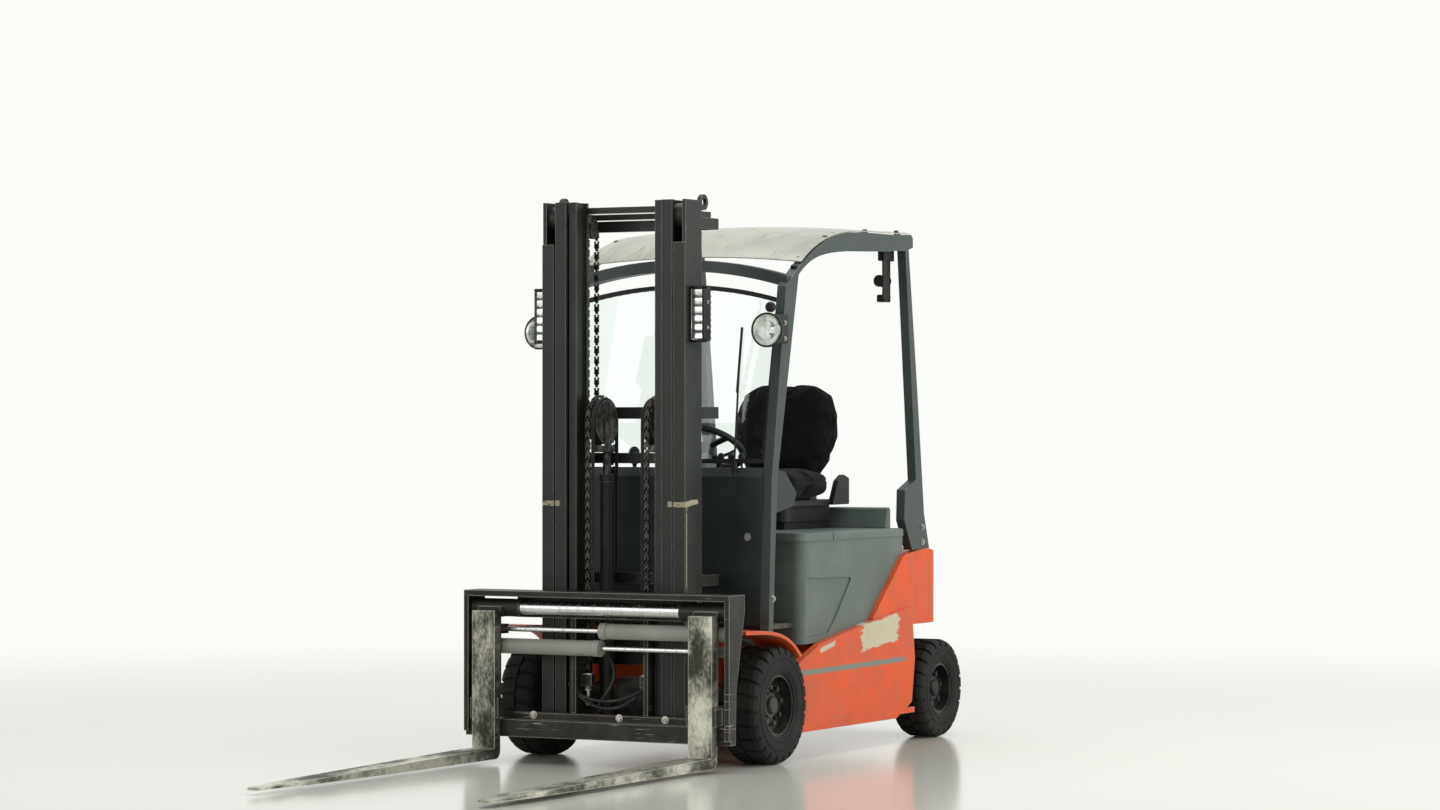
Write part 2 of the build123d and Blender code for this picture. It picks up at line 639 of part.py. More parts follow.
def chassis_frame():
    """Skirts, bulkheads, floor pan, front plate, cylinder brackets and rear gussets."""
    skirt = side_prism([(front_y + 208, skirt_bottom), (rear_y - 434, skirt_bottom),
                        (rear_y - 290, 163), (rear_y - 262, 337), (rear_y - 289, 545),
                        (rear_y - 656, 502), (front_y + 381, 434), (front_y + 200, 371)],
                       skirt_x - skirt_t, skirt_x, 12)
    gusset = side_prism([(rear_y - 640, 500), (rear_y - 342, 754), (rear_y - 270, 760),
                         (rear_y - 262, 537)], hood_half + 0.5, skirt_x - 8, 6)
    long_plate = side_prism([(front_y + 5, 285), (front_y + 62, 285), (front_y + 90, 130),
                             (front_y + 400, 130), (front_y + 400, 425), (hood_front_y - 4, 425),
                             (hood_front_y - 4, 500), (front_y + 5, 500)],
                            mast_half - 35, mast_half - 10)
    pin = rod_x(mast_half - 15, tilt_x + 18, tilt_frame_y, tilt_frame_z, tilt_pin_r)
    mount = block(mast_half - 35, mast_half - 10, front_y - 45, front_y + 45, 270, 300)
    arch = rod_x(skirt_x - 60, skirt_x + 10, front_y, front_tyre_r, front_tyre_r + 20)
    half = fused(skirt, gusset) - arch
    inner = fused(long_plate, pin, mount) - rod_x(200, 400, front_y, front_tyre_r, axle_tube_r)
    front_wall = block(-skirt_x + 5, skirt_x - 5, front_y + 398, front_y + 420, 118, 425)
    pan = block(-skirt_x + 5, skirt_x - 5, front_y + 398, rear_y - 255, 118, 140)
    rear_wall = block(-hood_half + 40, hood_half - 40, rear_y - 275, rear_y - 255, 118, 745)
    width = mast_half - 10
    front_plate = block(-width, width, front_y + 60, front_y + 78, 300, 495)
    notch = extrude(Pos(0, front_y + 50, 0) * make_face(Polyline(
        (-150, 0, 484), (150, 0, 484), (60, 0, 360), (-60, 0, 360), close=True)),
        amount=40, dir=(0, 1, 0))
    front_plate = front_plate - notch
    floor = block(-width, width, front_y + 60, hood_front_y - 4, 484, 500)
    parts = both(half) + both(inner) + both(hinge_post()) + [front_wall, pan, rear_wall, front_plate, floor]
    save("chassis_frame", fused(parts))
    battery_half = hood_half - 45
    save("battery", block(-battery_half, battery_half, front_y + 470, hinge_y, 140, 780))


def hinge_post():
    """Upright behind the battery that holds the pin of one hood hinge."""
    foot = 735
    post = side_prism([(hinge_y + 15, foot), (hinge_y + 34, foot), (hinge_y + 34, foot + 65),
                       (hinge_y + hinge_r, hinge_z + 3), (hinge_y - hinge_r + 2, hinge_z - 5),
                       (hinge_y + 15, foot + 50)],
                      hinge_post_x - hinge_post_t / 2, hinge_post_x + hinge_post_t / 2)
    boss = rod_x(hinge_post_x - hinge_post_t / 2, hinge_post_x + hinge_post_t / 2, hinge_y, hinge_z, hinge_r)
    pin = rod_x(hinge_post_x - 28, hinge_post_x, hinge_y, hinge_z, hinge_pin_r)
    return fused(post, boss, pin)


def hinge_knuckle():
    """Round eye on the lid's rear edge that turns on the post's pin."""
    end = hinge_post_x - hinge_post_t / 2 - slide_gap
    eye = rod_x(end - 80, end, hinge_y, hinge_z, hinge_r)
    strap = block(end - 80, end, hinge_y - 20, hinge_y, hood_top + lid_seat, hinge_z + 4)
    return fused(eye, strap) - rod_x(end - 25, end + 1, hinge_y, hinge_z, hinge_pin_r + pin_gap)


def counterweight():
    """Cast block at the tail, rounded in plan, with arches over the steered wheels."""
    front = hood_rear_y
    profile = Polyline((0, front, 150), (0, front, 758), (0, rear_y - 79, 774),
                       (0, tail_y - 70, 730), (0, tail_y, 600), (0, tail_y, 330),
                       (0, tail_y - 60, 200), (0, tail_y - 120, 150), close=True)
    face = make_face(profile)
    rounded = face.vertices().filter_by(lambda v: v.Y > rear_y - 100)
    face = fillet(rounded, 40)
    solid = extrude(Pos(-weight_half, 0, 0) * face, amount=2 * weight_half, dir=(1, 0, 0))
    plan = Polyline((-weight_half, front, 0), (-weight_half, rear_y - 20, 0),
                    (170 - weight_half, tail_y - 20, 0), (300 - weight_half, tail_y, 0),
                    (weight_half - 300, tail_y, 0), (weight_half - 170, tail_y - 20, 0), (weight_half, rear_y - 20, 0),
                    (weight_half, front, 0), close=True)
    plan_face = make_face(plan)
    corners = plan_face.vertices().filter_by(lambda v: v.Y > rear_y - 30)
    plan_face = fillet(corners, 60)
    solid = solid & extrude(plan_face, amount=900, dir=(0, 0, 1))
    for side in (1, -1):
        x0, x1 = sorted((side * 160, side * 700))
        solid = solid - block(x0, x1, front - 10, tail_y + 10, 0, 470)
    solid = solid - block(-700, 700, rear_y - 75, rear_y + 75, 0, 305)
    solid = solid - rod_y(0, rear_y - 70, rear_y + 70, trunnion_z, trunnion_r + 2)
    solid = solid - rod_z(0, tail_y - 40, pin_hole_bottom, 900, pin_hole_r)
    solid = solid - block(-60, 60, tail_y - 75, tail_y + 10, tow_slot_low, tow_slot_high)
    save("counterweight", solid)
    return solid


def axle_hanger():
    """Two blocks that hold the rear axle's trunnion under the counterweight."""
    parts = []
    for y0, y1 in ((rear_y - 58, rear_y - 40), (rear_y + 40, rear_y + 58)):
        piece = block(-70, 70, y0, y1, rear_tyre_r + 20, 305)
        parts.append(piece - rod_y(0, y0 - 5, y1 + 5, trunnion_z, trunnion_r))
    save("axle_hangers", parts)


def battery_surround():
    """Slate side panels and front wall around the battery space."""
    outer = Pos(0, (hood_front_y + hood_rear_y) / 2, 400) * extrude(
        RectangleRounded(2 * hood_half, hood_rear_y - hood_front_y, 50), amount=450)
    inner = Pos(0, (hood_front_y + hood_rear_y) / 2 + hood_wall, 390) * extrude(
        RectangleRounded(2 * (hood_half - hood_wall), hood_rear_y - hood_front_y, 26), amount=470)
    shell = outer - inner
    keep = side_prism([(hood_front_y - 10, 433), (front_y + 440, 440), (rear_y - 596, 505),
                       (rear_y - 312, 762), (rear_y - 250, 768), (rear_y - 250, hood_top),
                       (hood_front_y - 10, hood_top)], -600, 600)
    shell = shell & keep
    shell = shell - block(-600, 600, hood_rear_y - 60, hood_rear_y + 10, 300, 900)
    deck = block(-hood_half - 5, hood_half + 5, hood_front_y - 12, lid_front_y - lid_gap,
                 hood_top, hood_top + lid_seat + lid_t)
    deck = fillet(deck.edges().filter_by(Axis.Z).filter_by(lambda e: e.center().Y < front_y + 400), 45)
    save("battery_surround", fused(shell, deck) - side_recess() - mirror(side_recess(), Plane.YZ))


def side_recess():
    """Shallow moulded hollow in the left side panel."""
    return side_prism([(front_y + 235, 455), (front_y + 500, 470), (front_y + 560, 520), (front_y + 700, 672),
                       (front_y + 690, 680), (front_y + 235, 690)], hood_half - hollow_depth, hood_half + 10, 8)


def hood():
    """Battery lid and the seat that lifts with it."""
    z0 = hood_top + lid_seat
    lid = block(-hood_half - 5, hood_half + 5, lid_front_y, hood_rear_y - 40, z0, z0 + lid_t)
    lid = fillet(lid.edges().filter_by(Axis.Z).filter_by(lambda e: e.center().Y > rear_y - 400), 30)
    lid = fillet(lid.faces().sort_by(Axis.Z)[-1].edges(), 10)
    top = z0 + lid_t
    rim_half = guard_out - guard_w - 12
    rim = side_prism([(hinge_y - 62, top - 2), (hinge_y - 44, top + 78), (hinge_y - 24, top + 84),
                      (hinge_y - 14, top + 70), (hinge_y - 14, top - 2)], -rim_half, rim_half, 6)
    notch = block(hinge_post_x - 11, hinge_post_x + 11, hinge_y - 36, hinge_y + 20, z0 - 5, top + 5)
    lid = fused(lid, rim) - notch - mirror(notch, Plane.YZ)
    save("hood_lid", fused([lid] + both(hinge_knuckle())))
    seat(top)


def seat(foot):
    """Cushion and back on a sprung base with side shells."""
    plate = block(-200, 200, seat_y - 210, seat_y + 185, foot, foot + seat_plate_t)
    bellows = block(-215, 215, seat_y - 225, seat_y + 190, foot + seat_plate_t, foot + seat_pan_z)
    bellows = fillet(bellows.edges().filter_by(Axis.Z), 50)
    pan_z = foot + seat_pan_z
    pan = block(-seat_half - 10, seat_half + 10, seat_y - 230, seat_y + 230, pan_z - 1, pan_z + seat_pan_t)
    pan = fillet(pan.edges().filter_by(Axis.Z), 50)
    profile = [(seat_y + 80, pan_z), (seat_y + 130, pan_z + 95), (seat_y + 180, pan_z + 120),
               (seat_y + 228, pan_z + 105), (seat_y + 228, pan_z)]
    shell = side_prism(profile, seat_half + 4, seat_half + 26, 8)
    outline = Spline((-150, -185), (-225, -20), (-208, 110), (-110, 176), (0, 184),
                     (110, 176), (208, 110), (225, -20), (150, -185))
    back = extrude(make_face(outline + Line((150, -185), (-150, -185))), amount=seat_back_t)
    back = Pos(0, seat_y + 235, foot + 382) * Rot(82, 0, 0) * back
    post = block(-120, 120, seat_y + 165, seat_y + 225, pan_z, pan_z + 190) - back
    save("seat_base", fused([plate, bellows, pan, post] + both(shell)))
    cushion = block(-seat_half, seat_half, seat_y - 220, seat_y + 115,
                    pan_z + seat_pan_t + lid_seat, pan_z + seat_pan_t + seat_cushion_t)
    cushion = fillet(cushion.edges().filter_by(Axis.Z), 60)
    cushion = fillet(cushion.faces().sort_by(Axis.Z)[-1].edges(), 28)
    save("seat_cushion", cushion)
    save("seat_back", back)


def cowl():
    """Dash and front wall between the front pillars, with the floor and steering column."""
    profile = [(front_y + 35, floor_z), (front_y + 35, 1080), (front_y + 60, 1115),
               (front_y + 230, 1100), (front_y + 330, 1015), (front_y + 300, 965),
               (front_y + 90, 930), (front_y + 75, floor_z)]
    body = side_prism(profile, -cowl_half, cowl_half, 8)
    save("front_cowl", body)
    floor = block(-cowl_half, cowl_half, front_y + 60, hood_front_y, floor_z - 10, floor_z + 8)
    save("floor_plate", floor - body)
    centre = Vector(0, front_y + 430, 1190)
    way = Vector(0, 1, 1.6).normalized()
    column = bar(tuple(centre - way * 300), tuple(centre - way * 22.3), 40)
    save("steering_column", column - body)
    plane = Plane(origin=centre, x_dir=(1, 0, 0), z_dir=tuple(way))
    ring = plane * Torus(wheel_ring_r, 13)
    hub = plane * Pos(0, 0, -10) * Cylinder(35, 24)
    spokes = []
    for turn in range(3):
        spokes.append(plane * Rot(0, 0, 90 + 120 * turn) * Pos(wheel_ring_r / 2, 0, -4)
                      * Box(wheel_ring_r, 26, 8))
    save("steering_wheel", fused([ring, hub] + spokes))
    return body


def overhead_guard(weight, fender):
    """Pillars and roof rails cut from one bent outline on each side, with cross members."""
    f = front_y
    r = rear_y
    outer_top = Spline((0, f + 170, 1806), (0, f + 259, 1870), (0, f + 538, 2003),
                       (0, f + 886, 2038), (0, r - 216, 2046))
    outline = (Polyline((0, f + 28, 478), (0, f + 54, 1069), (0, f + 170, 1806)) + outer_top
               + Polyline((0, r - 216, 2046), (0, r - 198, 2034), (0, r - 196, 1994), (0, r - 236, 1984),
                          (0, r - 162, 1458), (0, r - 110, 1051), (0, r - 94, 917), (0, r - 47, 778),
                          (0, r - 47, 770), (0, r - 205, 770), (0, r - 276, 892), (0, r - 270, 1013),
                          (0, r - 168, 1052), (0, r - 265, 1978), (0, r - 334, 1977))
               + Spline((0, r - 334, 1977), (0, f + 871, 1964), (0, f + 581, 1949),
                        (0, f + 425, 1924), (0, f + 273, 1852))
               + Polyline((0, f + 273, 1852), (0, f + 96, 1069), (0, f + 60, 478),
                          (0, f + 28, 478)))
    face = make_face(outline)
    side = extrude(Pos(guard_out - guard_w, 0, 0) * face, amount=guard_w, dir=(1, 0, 0))
    side = side - weight - fender
    parts = both(side)
    front_bar = Pos(0, f + 190, 0) * arch(guard_out - 5, 1800, 1870, 60, 45)
    parts.append(front_bar)
    for y, z in ((f + 560, 1975), (f + 740, 1990), (f + 920, 2000), (r - 250, 2005)):
        parts.append(block(-guard_out + 10, guard_out - 10, y, y + 50, z - 12, z + 12))
    for y, z in ((f + 330, 1912), (f + 620, 2016), (f + 900, 2041), (r - 290, 2048)):
        parts += both(rod_z(guard_out - 30, y, z - 40, z + 12, 9))
    guard = fused(parts)
    save("overhead_guard", guard)
    return guard


def arch(half, z_low, z_high, depth, height):
    """A cross member that rises to its middle."""
    top = ThreePointArc((-half, 0, z_low + height), (0, 0, z_high + height), (half, 0, z_low + height))
    low = ThreePointArc((half, 0, z_low), (0, 0, z_high), (-half, 0, z_low))
    face = make_face(top + Line((half, 0, z_low + height), (half, 0, z_low)) + low
                     + Line((-half, 0, z_low), (-half, 0, z_low + height)))
    return extrude(face, amount=depth, dir=(0, 1, 0))


def roof_panel(guard):
    """Thin cambered sheet laid over the guard's rails."""
    stations = ((front_y + 300, 1900), (front_y + 538, 2004), (front_y + 886, 2040),
                (rear_y - 230, 2047))
    sections = []
    for y, z in stations:
        half = guard_out - 4
        top = ThreePointArc((-half, y, z + 5), (0, y, z + 30), (half, y, z + 5))
        low = ThreePointArc((half, y, z + 1), (0, y, z + 26), (-half, y, z + 1))
        sections.append(make_face(top + Line((half, y, z + 5), (half, y, z + 1)) + low
                                  + Line((-half, y, z + 1), (-half, y, z + 5))))
    save("roof_panel", loft(sections) - guard)


def windscreen(cowl_body):
    """Glass between the front pillars with its rubber seal and the wiper."""
    lean = Plane(origin=(0, front_y + 78, 1120), x_dir=(1, 0, 0), z_dir=(0, -737, 149))
    height = 710
    half = guard_out - guard_w
    face = make_face(Polyline((-half, 10), (half, 10), (half, height - 60), close=False)
                     + ThreePointArc((half, height - 60), (0, height), (-half, height - 60))
                     + Line((-half, height - 60), (-half, 10)))
    inner = make_face(Polyline((-half + 16, 26), (half - 16, 26), (half - 16, height - 74), close=False)
                      + ThreePointArc((half - 16, height - 74), (0, height - 16),
                                      (-half + 16, height - 74))
                      + Line((-half + 16, height - 74), (-half + 16, 26)))
    glass = extrude(lean * inner, amount=6)
    seal = extrude(lean * face, amount=14) - extrude(lean * inner, amount=14)
    save("windscreen", glass)
    save("windscreen_trim", seal)
    boss = rod_z(330, front_y + 50, 1090, 1140, 10) - cowl_body
    arm = bar((330, front_y + 50, 1132), (300, front_y + 147, 1525), 4)
    blade = bar((303, front_y + 122, 1400), (298, front_y + 172, 1650), 5)
    save("wiper", fused(boss, arm, blade))


def lamps(guard):
    """Round head lamps on the pillars, bar lamps on the mast, rear lamp and mirror."""
    housings = []
    lenses = []
    for side in (1, -1):
        x = side * (guard_out + 10)
        bowl = rod_y(x, front_y - 10, front_y + 45, 1635, 66)
        x0, x1 = sorted((side * guard_out, side * (guard_out + 8)))
        plate = block(x0, x1, front_y + 40, front_y + 175, 1585, 1700)
        housings.append(fused(bowl, plate))
        lenses.append(rod_y(x, front_y - 16, front_y - 10, 1635, 60))
    save("head_lamps", housings)
    save("head_lamp_lenses", lenses)
    body = block(mast_half, mast_half + 60, channel_y - 25, channel_y + 45, 1586, 1796)
    lens = block(mast_half + 8, mast_half + 54, channel_y - 31, channel_y - 25, 1596, 1786)
    save("mast_lamps", both(body))
    save("mast_lamp_lenses", both(lens))
    inside = guard_out - guard_w
    arm = block(inside - 30, inside, rear_y - 395, rear_y - 290, 1935, 1995)
    lamp = block(inside - 52, inside - 2, rear_y - 390, rear_y - 290, 1770, 1940)
    save("rear_lamp", fused(arm, lamp))
    glass = extrude(Plane(origin=(-20, front_y + 262, 1790), x_dir=(1, 0, 0), z_dir=(0, -1, 0))
                    * (Circle(70) - Pos(0, 50) * Rectangle(200, 100)), amount=22)
    stem = bar((-20, front_y + 250, 1785), (-20, front_y + 235, 1880), 6)
    save("mirror", fused(glass, stem - guard))


def fenders():
    """Curved strips over the front wheels."""
    f = front_y
    outline = (Spline((0, f - 285, 500), (0, f - 96, 492), (0, f + 66, 454), (0, f + 150, 395))
               + Line((0, f + 150, 395), (0, f + 165, 402))
               + Spline((0, f + 165, 402), (0, f + 70, 466), (0, f - 94, 505), (0, f - 285, 513))
               + Line((0, f - 285, 513), (0, f - 285, 500)))
    inner = front_width / 2 - front_tyre_w
    strip = extrude(Pos(inner, 0, 0) * make_face(outline), amount=front_tyre_w, dir=(1, 0, 0))
    save("fenders", both(strip))
    below = make_face(Polyline((0, f - 20, 380), (0, f + 150, 380), (0, f + 150, 395), (0, f + 66, 465),
                               (0, f - 20, 490), close=True))
    return extrude(Pos(inner, 0, 0) * below, amount=front_tyre_w, dir=(1, 0, 0)) + strip


os.makedirs("parts", exist_ok=True)
wheels()
drive_axle()
steer_axle()
knuckles()
mast_outer()
lift_cylinders()
mast_middle()
main_chains()
mast_inner()
free_lift()
carriage()
positioner_frame()
fork_gear()
tilt_cylinders()
chassis_frame()
axle_hanger()
battery_surround()
hood()
cowl_solid = cowl()
guard_solid = overhead_guard(counterweight(), fenders())
roof_panel(guard_solid)
windscreen(cowl_solid)
lamps(guard_solid)
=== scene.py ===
# %% [markdown]
# # A forklift truck, dressed for its picture
# The frame is an electric counterbalance truck made of solids in metres: a three-stage mast with a
# fork positioner in front, an open cab under a bent-tube guard, and a heavy painted counterweight
# behind. This lesson gives those solids their finishes and adds what a solid model leaves out: tread,
# seat covers, chain links, bolts, levers and the reflectors of the lamps. Everything is made where the
# frame says, so nothing has to be fitted afterwards.
# %% Load the frame
import json
import math

import bmesh
import bpy
import numpy as np
from mathutils import Matrix, Vector

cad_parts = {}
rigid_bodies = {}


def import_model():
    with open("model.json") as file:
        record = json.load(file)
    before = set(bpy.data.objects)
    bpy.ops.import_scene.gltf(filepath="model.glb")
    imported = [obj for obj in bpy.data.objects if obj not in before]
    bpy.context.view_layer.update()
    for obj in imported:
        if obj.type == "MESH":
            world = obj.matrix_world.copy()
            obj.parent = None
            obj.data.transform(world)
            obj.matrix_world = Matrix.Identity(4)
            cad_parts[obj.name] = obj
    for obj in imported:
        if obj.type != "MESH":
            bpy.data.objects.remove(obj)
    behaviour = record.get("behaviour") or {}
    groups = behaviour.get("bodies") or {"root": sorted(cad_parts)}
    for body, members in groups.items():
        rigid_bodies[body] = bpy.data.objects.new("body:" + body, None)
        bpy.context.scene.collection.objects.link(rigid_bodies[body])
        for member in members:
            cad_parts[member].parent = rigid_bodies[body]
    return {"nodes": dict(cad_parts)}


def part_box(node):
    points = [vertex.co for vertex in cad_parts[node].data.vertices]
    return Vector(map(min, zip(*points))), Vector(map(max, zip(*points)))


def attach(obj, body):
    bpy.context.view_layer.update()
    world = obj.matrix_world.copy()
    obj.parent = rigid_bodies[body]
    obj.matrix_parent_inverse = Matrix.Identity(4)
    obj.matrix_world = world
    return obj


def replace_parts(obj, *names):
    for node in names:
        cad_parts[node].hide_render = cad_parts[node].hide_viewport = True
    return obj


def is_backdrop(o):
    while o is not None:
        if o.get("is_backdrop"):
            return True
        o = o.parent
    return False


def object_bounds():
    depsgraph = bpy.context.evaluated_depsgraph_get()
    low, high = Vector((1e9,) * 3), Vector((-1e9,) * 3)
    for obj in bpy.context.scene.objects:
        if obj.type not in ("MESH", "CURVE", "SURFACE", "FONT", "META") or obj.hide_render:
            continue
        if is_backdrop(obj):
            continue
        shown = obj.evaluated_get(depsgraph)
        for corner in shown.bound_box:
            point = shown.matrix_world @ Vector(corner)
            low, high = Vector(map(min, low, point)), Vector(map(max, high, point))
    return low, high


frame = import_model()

nodes = frame["nodes"]
cad_low, cad_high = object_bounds()
print("frame box", [round(v, 3) for v in (*cad_low, *cad_high)], "with", len(nodes), "solids' nodes")

# %% [markdown]
# ## Camera
# The photograph was taken with a long lens from well in front of the truck's left corner, at chest
# height. A camera could be placed by eye, but the place here comes from matching measured points of
# the truck with their pixels. A long lens keeps upright things parallel, so the columns of the mast
# hardly lean.
# %% Place the camera
photo_width_px = 1440
focal_px = 3977.4
sensor_mm = 36.0
view_azimuth = math.radians(28.542)
view_pitch = math.radians(-0.2144)
camera_place = Vector((7.502, -13.1275, 1.296))


def look_back():
    """The unit direction from the truck back to the camera."""
    flat = math.cos(view_pitch)
    return Vector((math.sin(view_azimuth) * flat, -math.cos(view_azimuth) * flat, math.sin(view_pitch)))


camera_data = bpy.data.cameras.new("photo_camera")
camera_data.sensor_width = sensor_mm
camera_data.lens = focal_px * sensor_mm / photo_width_px
camera_data.clip_end = 200
camera = bpy.data.objects.new("photo_camera", camera_data)
camera.location = camera_place
camera.rotation_euler = look_back().to_track_quat("Z", "Y").to_euler()
bpy.context.scene.collection.objects.link(camera)
bpy.context.scene.camera = camera
bpy.context.scene.view_settings.view_transform = "Standard"
print("lens", round(camera_data.lens, 1), "mm")

# %% [markdown]
# ## Node helpers
# A finish is a small tree of shader nodes. Written out call by call, a tree is hard to read, so two
# short helpers add a node and feed its sockets with either a number or another node's output. An
# effect that several finishes share becomes a node group with named sockets, built once.
# %% Helpers for shader trees
FLOAT = "NodeSocketFloat"


def feed(tree, socket, value):
    """Links an output to a socket, or writes a plain value in it."""
    if isinstance(value, bpy.types.NodeSocket):
        tree.links.new(value, socket)
    else:
        socket.default_value = value


def add(tree, kind, inputs=(), **settings):
    """A new node with its settings made and its inputs fed."""
    made = tree.nodes.new(kind)
    for key, value in settings.items():
        setattr(made, key, value)
    for key, value in dict(inputs).items():
        feed(tree, made.inputs[key], value)
    return made


def maths(tree, operation, first, second=0.0, clamp=False):
    """One arithmetic step between two values."""
    return add(tree, "ShaderNodeMath", {0: first, 1: second}, operation=operation, use_clamp=clamp).outputs[0]


def ramp(tree, value, low, high, out_low=0.0, out_high=1.0):
    """A smooth step from out_low to out_high while value goes from low to high."""
    made = add(tree, "ShaderNodeMapRange", {0: value, 1: low, 2: high, 3: out_low, 4: out_high},
               interpolation_type="SMOOTHSTEP")
    return made.outputs[0]


def mix_colour(tree, factor, first, second):
    """First where factor is 0, second where it is 1."""
    made = add(tree, "ShaderNodeMix", data_type="RGBA")
    feed(tree, made.inputs[0], factor)
    feed(tree, made.inputs[6], first)
    feed(tree, made.inputs[7], second)
    return made.outputs[2]


def mix_value(tree, factor, first, second):
    """The same for plain numbers."""
    made = add(tree, "ShaderNodeMix", data_type="FLOAT")
    feed(tree, made.inputs[0], factor)
    feed(tree, made.inputs[2], first)
    feed(tree, made.inputs[3], second)
    return made.outputs[0]


def object_place(tree, stretch=(1, 1, 1)):
    """The point on the object in metres, squeezed along its axes."""
    place = add(tree, "ShaderNodeTexCoord").outputs["Object"]
    return add(tree, "ShaderNodeMapping", {"Vector": place, "Scale": stretch}).outputs[0]


def noise(tree, scale, detail=3.0, stretch=(1, 1, 1), roughness=0.55):
    """A cloudy value about 0.5."""
    inputs = {"Vector": object_place(tree, stretch), "Scale": scale, "Detail": detail, "Roughness": roughness}
    return add(tree, "ShaderNodeTexNoise", inputs).outputs[0]


def new_group(name, inputs, outputs):
    """An empty shader group with named sockets, and its two end nodes."""
    group = bpy.data.node_groups.new(name, "ShaderNodeTree")
    for label, kind, value in inputs:
        group.interface.new_socket(label, in_out="INPUT", socket_type=kind).default_value = value
    for label, kind in outputs:
        group.interface.new_socket(label, in_out="OUTPUT", socket_type=kind)
    return group, group.nodes.new("NodeGroupInput").outputs, group.nodes.new("NodeGroupOutput").inputs


def place_group(tree, group, **values):
    """The group as one node in a material; an underscore in a value's name stands for a space."""
    made = add(tree, "ShaderNodeGroup", node_tree=group)
    for key, value in values.items():
        feed(tree, made.inputs[key.replace("_", " ")], value)
    return made.outputs


# %% [markdown]
# ## Shared effects
# On a working truck paint goes first at the edges, because that is where things knock against it. The
# Bevel node looks a short way around each point for a corner, so its normal differs from the surface's
# own normal exactly at edges, and noise breaks that line up. Scratches are noise squeezed thin along
# one direction. Dust settles low down and in clouds. Painting these by hand would not follow the shape
# when the frame changes.
# %% Edge wear group
BEND_GAIN = 6.0
BREAK_LEVEL = 1.15
MASK_GAIN = 8.0

edge_wear, given, result = new_group(
    "edge wear",
    [("Radius", FLOAT, 0.004), ("Amount", FLOAT, 0.5), ("Scale", FLOAT, 40.0)],
    [("Mask", FLOAT)])
rounded = add(edge_wear, "ShaderNodeBevel", {"Radius": given["Radius"]}, samples=4).outputs[0]
own = add(edge_wear, "ShaderNodeNewGeometry").outputs["Normal"]
turned = add(edge_wear, "ShaderNodeVectorMath", {0: rounded, 1: own},
             operation="DOT_PRODUCT").outputs["Value"]
bent = maths(edge_wear, "MULTIPLY", maths(edge_wear, "SUBTRACT", 1.0, turned), BEND_GAIN)
cloud = add(edge_wear, "ShaderNodeTexNoise",
            {"Vector": object_place(edge_wear), "Scale": given["Scale"], "Detail": 4.0}).outputs[0]
broken = maths(edge_wear, "SUBTRACT", maths(edge_wear, "ADD", bent, cloud), BREAK_LEVEL)
gain = maths(edge_wear, "MULTIPLY", given["Amount"], MASK_GAIN)
feed(edge_wear, result["Mask"], maths(edge_wear, "MULTIPLY", broken, gain, clamp=True))

# %% Scratch group
SCRATCH_SLANT = 0.05
SCRATCH_LEVEL = 1.12
SCRATCH_GAIN = 18.0

scratches, given, result = new_group(
    "scratches",
    [("Scale", FLOAT, 6.0), ("Amount", FLOAT, 0.3), ("Thinness", FLOAT, 30.0)],
    [("Mask", FLOAT)])
place = add(scratches, "ShaderNodeTexCoord").outputs["Object"]
squeeze = add(scratches, "ShaderNodeCombineXYZ", {0: 1.0, 1: 1.0, 2: given["Thinness"]}).outputs[0]
lines = add(scratches, "ShaderNodeMapping",
            {"Vector": place, "Scale": squeeze, "Rotation": (SCRATCH_SLANT, 0.0, 0.0)}).outputs[0]
fine = add(scratches, "ShaderNodeTexNoise",
           {"Vector": lines, "Scale": given["Scale"], "Detail": 3.0, "Roughness": 0.6}).outputs[0]
where = add(scratches, "ShaderNodeTexNoise", {"Vector": place, "Scale": 5.0, "Detail": 2.0}).outputs[0]
both_clouds = maths(scratches, "ADD", fine, maths(scratches, "MULTIPLY", where, 0.5))
level = maths(scratches, "SUBTRACT", SCRATCH_LEVEL, maths(scratches, "MULTIPLY", given["Amount"], 0.3))
above = maths(scratches, "SUBTRACT", both_clouds, level)
feed(scratches, result["Mask"], maths(scratches, "MULTIPLY", above, SCRATCH_GAIN, clamp=True))

# %% Dust group
HIGH_DUST_SHARE = 0.25

dust_film, given, result = new_group(
    "dust film",
    [("Low", FLOAT, 0.1), ("High", FLOAT, 0.8), ("Amount", FLOAT, 0.5), ("Scale", FLOAT, 7.0)],
    [("Mask", FLOAT)])
place = add(dust_film, "ShaderNodeTexCoord").outputs["Object"]
height = add(dust_film, "ShaderNodeSeparateXYZ", {0: place}).outputs[2]
lower = ramp(dust_film, height, given["Low"], given["High"], 1.0, HIGH_DUST_SHARE)
cloud = add(dust_film, "ShaderNodeTexNoise",
            {"Vector": place, "Scale": given["Scale"], "Detail": 6.0, "Roughness": 0.65}).outputs[0]
thick = maths(dust_film, "MULTIPLY", ramp(dust_film, cloud, 0.35, 0.75), lower)
feed(dust_film, result["Mask"], maths(dust_film, "MULTIPLY", thick, given["Amount"], clamp=True))

# %% Grain group
grain, given, result = new_group(
    "grain",
    [("Scale", FLOAT, 400.0), ("Waves", FLOAT, 8.0), ("Wave share", FLOAT, 0.3)],
    [("Height", FLOAT)])
place = add(grain, "ShaderNodeTexCoord").outputs["Object"]
pebbles = add(grain, "ShaderNodeTexVoronoi", {"Vector": place, "Scale": given["Scale"]}).outputs["Distance"]
waves = add(grain, "ShaderNodeTexNoise", {"Vector": place, "Scale": given["Waves"], "Detail": 2.0}).outputs[0]
waves = maths(grain, "MULTIPLY", waves, given["Wave share"])
feed(grain, result["Height"], maths(grain, "ADD", pebbles, waves))

# %% Worn patch group
PATCH_EDGE = 0.92
SKIN_DEPTH = 0.01

